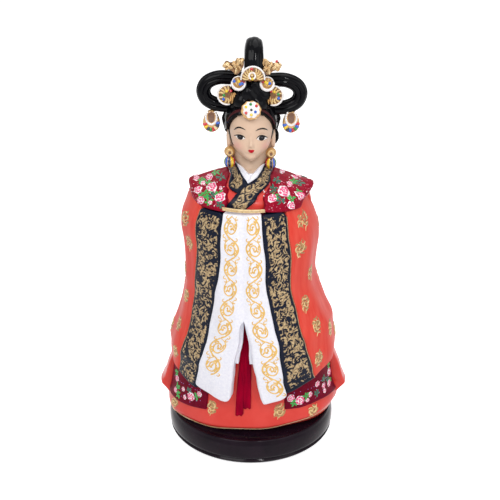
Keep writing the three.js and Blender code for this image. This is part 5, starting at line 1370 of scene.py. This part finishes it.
def fan(at, radius, chord, ribs, thick):
    """Coats of a fan: a gold plate inside an arc, ribs that run out from its foot and swell, and a white
    rim."""
    start = np.degrees(np.arcsin(-chord / radius))
    edge = arc(0, 0, radius * 0.95, start, 180 - start, 60)
    foot = np.column_stack([np.linspace(edge[-1, 0], edge[0, 0], 24)[1:-1], np.full(22, edge[0, 1])])
    foot[:, 1] -= 0.35 * np.abs(np.sin(np.linspace(0, 4 * np.pi, 22)))
    plate = [[share, lift * thick / 2.1] for share, lift in PLATE]
    # The dark gold plate that shows between the ribs is painted shade
    coats = [(pressed(at, np.vstack([edge, foot]), plate), painted_shade_gold)]
    top = lifted(at, thick - 0.15)
    for angle in np.linspace(start + 14, 166 - start, ribs):
        way = np.radians(angle)
        hook = 0.16 if angle > 90 else -0.16
        path = [[0.28 * radius * np.cos(way), 0.28 * radius * np.sin(way)],
                [0.6 * radius * np.cos(way + hook), 0.6 * radius * np.sin(way + hook)],
                [0.9 * radius * np.cos(way), 0.9 * radius * np.sin(way)]]
        coats.append((bead(top, curve(path, 12), radius * 1.65 / ribs, 0.7, 0.35, 0.5), pale_gold))
    rim = arc(0, 0, radius * 0.95, start + 4, 176 - start, 60)
    coats.append((bead(lifted(at, thick - 0.45), rim, 0.95, 0.85, 0.12, 0.6), enamel["white"]))
    return coats


at = on_plane(FAN_TOP_PLACE)
coats = fan(at, 5.35, 0.9, 11, 2.3)
# Dark gold round and inside the white ring is painted shade
coats.append((blob(lifted(at, 2.0), oval(-0.3, 1.2, 1.9, 1.8, count=30), 0.5), painted_shade_gold))
collar = arc(-0.3, 1.2, 1.35, -95, 262, 36)
coats.append((bead(lifted(at, 2.3), collar, 0.85, 0.5, 0.02, 0.5), enamel["white"]))
coats.append((blob(lifted(at, 2.3), oval(-0.3, 1.3, 0.5, 0.5, count=16), 0.4), pale_gold))
coats += enamel_dots(at, [[-0.2, -0.1, "yellow"], [-0.5, 4.0, "red"]], 2.5, 0.66)
stand_in("fan_top", coats)
for k, (side, turn) in enumerate((("left", 1), ("right", -1))):
    coats = fan(on_plane(FAN_PLACES[k], turn * 1.6), 4.4, 1.4, 8, 2.6)
    at = on_plane(FAN_PLACES[k])
    for x, y, end_x, end_y in FEATHERS:
        middle = [(x + end_x) / 2 + 0.55, (y + end_y) / 2 + 0.3]
        path = np.array([[x, y], middle, [end_x, end_y]]) * [turn, 1]
        coats.append((bead(lifted(at, 1.9), curve(path, 14), 1.0, 0.75, 0.45, 1.9), ornament_gold))
    coats += enamel_dots(at, FAN_DOTS[k], 2.9, 0.68)
    stand_in(f"side_fan_{side}", coats)
    at = on_plane(CRESCENT_PLACES[k], turn * 0.25)
    coats = [(pressed(at, arc(0, -0.1, 3.05, 0, 350, 48), PLATE), ochre)]
    for start, end, wide in ((150, 390, 1.35), (20, 160, 0.6)):
        rim = arc(0, -0.1, 2.8, start, end, 50)
        coats.append((bead(lifted(at, 1.9), rim, wide, 0.95, 0.2, 1.6), enamel["white"]))
    for x in (-1.2, 0.0, 1.2):
        rib = curve([[x * 1.4, 2.5], [x, 0.6], [x * 0.5, -1.2]], 12)
        coats.append((bead(lifted(at, 2.0), rib, 0.8, 0.6, 0.4, 0.4), pale_gold))
    coats += enamel_dots(on_plane(CRESCENT_PLACES[k]), CRESCENT_DOTS[k], 2.45, 0.72)
    stand_in(f"crescent_{side}", coats)
    at = on_plane(BUTTERFLY_PLACES[k])
    rng = np.random.default_rng(40 + k)
    outline = curve(np.array([*BUTTERFLY_OUTLINE, BUTTERFLY_OUTLINE[0]]) * [turn, 1], 61)[:-1]
    # The dark gold plate that shows between the lobes is painted shade in the creases of the wings
    coats = [(pressed(at, outline * 0.94, PLATE[:3] + [[0.9, 1.4]]), painted_shade_gold)]
    for a, b, half_a, half_b, spin in BUTTERFLY_LOBES:
        a, spin = turn * a, turn * spin
        rise = 0.9 + 0.9 * rng.random()
        lobe = oval(a, b, 0.9 * half_a, 0.9 * half_b, spin, 3, 0.12, 30, rng.random() * 6)
        # The pale gold lobes are painted highlight on the folds of the wings
        coats.append((blob(lifted(at, rise), lobe, 0.75, rise + 0.2), painted_highlight_gold))
        axis = spin + (0 if half_a > half_b else np.pi / 2)
        along, out = np.array([np.cos(axis), np.sin(axis)]), np.array([-np.sin(axis), np.cos(axis)])
        reach, width = 0.85 * max(half_a, half_b), min(half_a, half_b)
        # Along each lobe a pale gold ridge is painted highlight and a dark gold line beside it painted
        # shade
        for step, paint, wide, tall in ((-0.25, painted_highlight_gold, 1.0, 1.05), (0.5, painted_shade_gold, 0.5, 0.75)):
            middle = np.array([a, b]) + step * width * out
            bend = (rng.random() - 0.5) * 1.2
            ridge = [middle - reach * along, middle - 0.4 * reach * along + bend * out,
                     middle + 0.4 * reach * along - bend * out, middle + reach * along]
            coats.append((bead(lifted(at, rise + 0.1), curve(ridge, 16), wide, tall, 0.45, 0.6), paint))
    if k == 1:
        coats += enamel_dots(at, [[2.6, 2.6, "red"]], 2.0, 0.62)
    stand_in(f"butterfly_{side}", coats)

# The pendants under the side loops and the earrings. Gold drops with a brown hollow in a white horseshoe,
# and striped in enamel below; the earrings are a hollow gold boss over a striped bead.

PENDANT_PLACES = [[-17.8, -0.5, 14.4], [18, -0.5, 14]]
EARRING_PLACES = [[-9.7, -2.2, 1.7], [9, -2.2, 1.1]]
# Outlines of the drop, of the hollow and of the white horseshoe, and share and lift of each step of the
# drop
PENDANT_DROP = [
    [-1.6, 5.6], [-3.1, 3.4], [-3.8, 0.2], [-2.8, -2.8], [0, -4.0], [2.8, -2.8], [3.8, 0.2], [3.1, 3.4],
    [1.6, 5.6], [0, 6.0], [-1.6, 5.6],
]
DROP_SHAPE = [[0.9, -1.4], [1.0, -0.9], [1.0, 0.6], [0.96, 1.0], [0.86, 1.25], [0.5, 1.3]]
PENDANT_HOLLOW = [
    [0, 5.7], [-1.3, 4.9], [-1.6, 3.0], [-1.2, 1.0], [0, 0.3], [1.2, 1.0], [1.6, 3.0], [1.3, 4.9], [0, 5.7],
]
PENDANT_SHOE = [
    [-1.7, 5.4], [-2.4, 3.7], [-2.3, 2.0], [-1.6, 0.5], [0, -0.3], [1.6, 0.5], [2.3, 2.0], [2.4, 3.7],
    [1.7, 5.4],
]
BOSS_RADII = [2.5, 2.3, 2.4]
BEAD_RADII = [2.5, 2.4, 2.9]
BEAD_DROP = 4.9
PENDANT_STRIPES = [["red", "yellow", "navy", "green", "red", "cream", "navy", "blue"],
                   ["blue", "yellow", "navy", "blue", "red", "green", "blue", "red"]]
BEAD_STRIPES = ["green", "blue", "navy", "yellow", "red"]
# Outline of a stripe, in degrees beside its middle line and above the bead's middle
STRIPE = [[-7, -60], [-14, 0], [-11, 58], [11, 58], [14, 0], [7, -60], [-7, -60]]


def dished(way):
    """Relief of a boss by direction (x, y, z): a hollow 0.12 exp(-(x^2 + z^2) / 0.12) in its front."""
    return -0.12 * np.exp(-(way[..., 0] ** 2 + way[..., 2] ** 2) / 0.12) * (way[..., 1] < 0)


def on_bead(middle):
    """Map from (a, b, c), the longitude and latitude in degrees on a bead and c out of it, to the
    figure."""
    def at(a, b, c):
        """Middle and direction times the radii with c added."""
        a, b, c = np.broadcast_arrays(np.radians(a), np.radians(b), np.asarray(c, float))
        way = np.stack([np.sin(a) * np.cos(b), -np.cos(a) * np.cos(b), np.sin(b)], -1)
        return middle + way * (np.array(BEAD_RADII) + c[..., None])
    return at


for k, side in enumerate(("left", "right")):
    at = on_plane(PENDANT_PLACES[k], 0.0, 0.0)
    hollow, shoe = curve(PENDANT_HOLLOW, 37)[:-1], curve(PENDANT_SHOE, 49)
    coats = [
        (pressed(at, curve(PENDANT_DROP, 61)[:-1], DROP_SHAPE), ornament_gold),
        (blob(lifted(at, 1.2), hollow, 0.3), enamel["brown"]),
        (bead(lifted(at, 1.1), shoe, 1.15, 0.65, 0.35, 0.4), enamel["white"]),
    ]
    for x, z in shoe[::4]:
        coats.append((blob(lifted(at, 1.55), oval(x, z, 0.5, 0.46, count=12), 0.3), enamel["white"]))
    for j, colour in enumerate(PENDANT_STRIPES[k]):
        angle = np.radians(188 + j * 164 / 7)
        path = [[reach * np.cos(angle + turn), 0.5 + (reach + 0.25) * np.sin(angle + turn)]
                for reach, turn in ((1.9, 0), (3.0, 0.1), (3.9, 0))]
        coats.append((bead(lifted(at, 1.0), curve(path, 12), 1.6, 0.75, 0.35, 0.6), enamel[colour]))
    stand_in(f"loop_pendant_{side}", coats)
    at = on_plane(EARRING_PLACES[k], 0.0, 0.0)
    coats = [
        (ball(from_chin(EARRING_PLACES[k]), BOSS_RADII, dished, 48, 25), ornament_gold),
        (blob(lifted(at, 1.95), oval(0.1, -0.1, 0.85, 0.95, count=20), 0.2), enamel["brown"]),
        (bead(lifted(at, 1.65), arc(0, 0, 1.3, -180, 178, 30), 0.7, 0.5, 0.05, 0.4), pale_gold),
    ]
    stand_in(f"earring_ring_{side}", coats)
    x, y, z = EARRING_PLACES[k]
    middle = from_chin([x, y, z - BEAD_DROP])
    coats = [(ball(middle, BEAD_RADII, None, 48, 25), ornament_gold)]
    for j, colour in enumerate(BEAD_STRIPES if k == 0 else BEAD_STRIPES[::-1]):
        turn = -76 + j * 36 + 8 * k
        outline = curve([[turn + wide, rise] for wide, rise in STRIPE], 37)[:-1]
        coats.append((blob(on_bead(middle), outline, 0.16, 0.3), enamel[colour]))
    stand_in(f"earring_bead_{side}", coats)

# Floor, camera and studio light. A sweep of white paper under the doll; three soft boxes and a narrow strip
# of light in front; a long lens that looks down at 23.4 degrees.


def seen_directly(tree):
    """1 where the camera sees a surface itself, through glass or in a gloss, and else 0: the largest of
    three flags of the ray."""
    rays = add_node(tree, "ShaderNodeLightPath").outputs
    seen = rays["Is Camera Ray"]
    for flag in ("Is Transmission Ray", "Is Glossy Ray"):
        seen = add_node(tree, "ShaderNodeMath", {"operation": "MAXIMUM"}, _0=seen, _1=rays[flag]).outputs[0]
    return seen


floor_mesh = bpy.data.meshes.new("floor")
floor_mesh.from_pydata([(-2, -2, 0), (2, -2, 0), (2, 2, 0), (-2, 2, 0)], [], [(0, 1, 2, 3)])
floor = bpy.data.objects.new("floor", floor_mesh)
bpy.context.scene.collection.objects.link(floor)
# Matt paper that glows a little to the camera, so that it runs into the white behind it
paper = bpy.data.materials.new("white paper sweep")
paper.use_nodes = True
tree = paper.node_tree
tree.nodes.remove(tree.nodes["Principled BSDF"])
level = add_node(tree, "ShaderNodeMath", {"operation": "MULTIPLY"}, _0=seen_directly(tree), _1=0.8)
glow = add_node(tree, "ShaderNodeEmission", Color=linear("#FFFFFF"), Strength=level.outputs[0])
matt = add_node(tree, "ShaderNodeBsdfDiffuse", Color=linear("#E6E6E8"))
both = add_node(tree, "ShaderNodeAddShader", _0=glow.outputs[0], _1=matt.outputs[0])
tree.links.new(both.outputs[0], tree.nodes["Material Output"].inputs["Surface"])
floor_mesh.materials.append(paper)

camera_data = bpy.data.cameras.new("camera")
camera_data.lens = 68.0
camera_data.sensor_width = 36.0
camera_data.sensor_fit = "HORIZONTAL"
camera_data.shift_x = -0.002
camera = bpy.data.objects.new("camera", camera_data)
camera.location = (0.0, -0.420, 0.278)
camera.rotation_euler = (np.radians(90 - 23.4), 0.0, 0.0)
bpy.context.scene.collection.objects.link(camera)
bpy.context.scene.camera = camera


def studio_light(name, place, wide, tall, power):
    """Rectangular soft box, wide by tall in metres, that looks at the middle of the doll."""
    light = bpy.data.lights.new(name, "AREA")
    light.shape = "RECTANGLE"
    light.size = wide
    light.size_y = tall
    light.energy = power
    box = bpy.data.objects.new(name, light)
    box.location = place
    away = np.array(place) - np.array([0.0, 0.0, 0.1])
    flat = np.hypot(away[0], away[1])
    box.rotation_euler = (np.arctan2(flat, away[2]), 0.0, np.arctan2(away[0], -away[1]))
    bpy.context.scene.collection.objects.link(box)


studio_light("key", (-0.35, -0.65, 0.75), 0.5, 0.5, 3.9)
studio_light("fill", (0.55, -0.6, 0.4), 0.6, 0.6, 1.6)
studio_light("top", (0.1, 0.1, 0.9), 0.7, 0.7, 3.0)
studio_light("strip", (0.13, -0.5, 0.52), 0.03, 0.2, 0.9)

world = bpy.data.worlds.new("studio")
bpy.context.scene.world = world
world.use_nodes = True
tree = world.node_tree
level = add_node(tree, "ShaderNodeMix", Factor=seen_directly(tree), _2=0.3, _3=1.0)
tree.links.new(level.outputs[0], tree.nodes["Background"].inputs["Strength"])
tree.nodes["Background"].inputs["Color"].default_value = linear("#FFFFFF")
bpy.context.scene.view_settings.view_transform = "Standard"
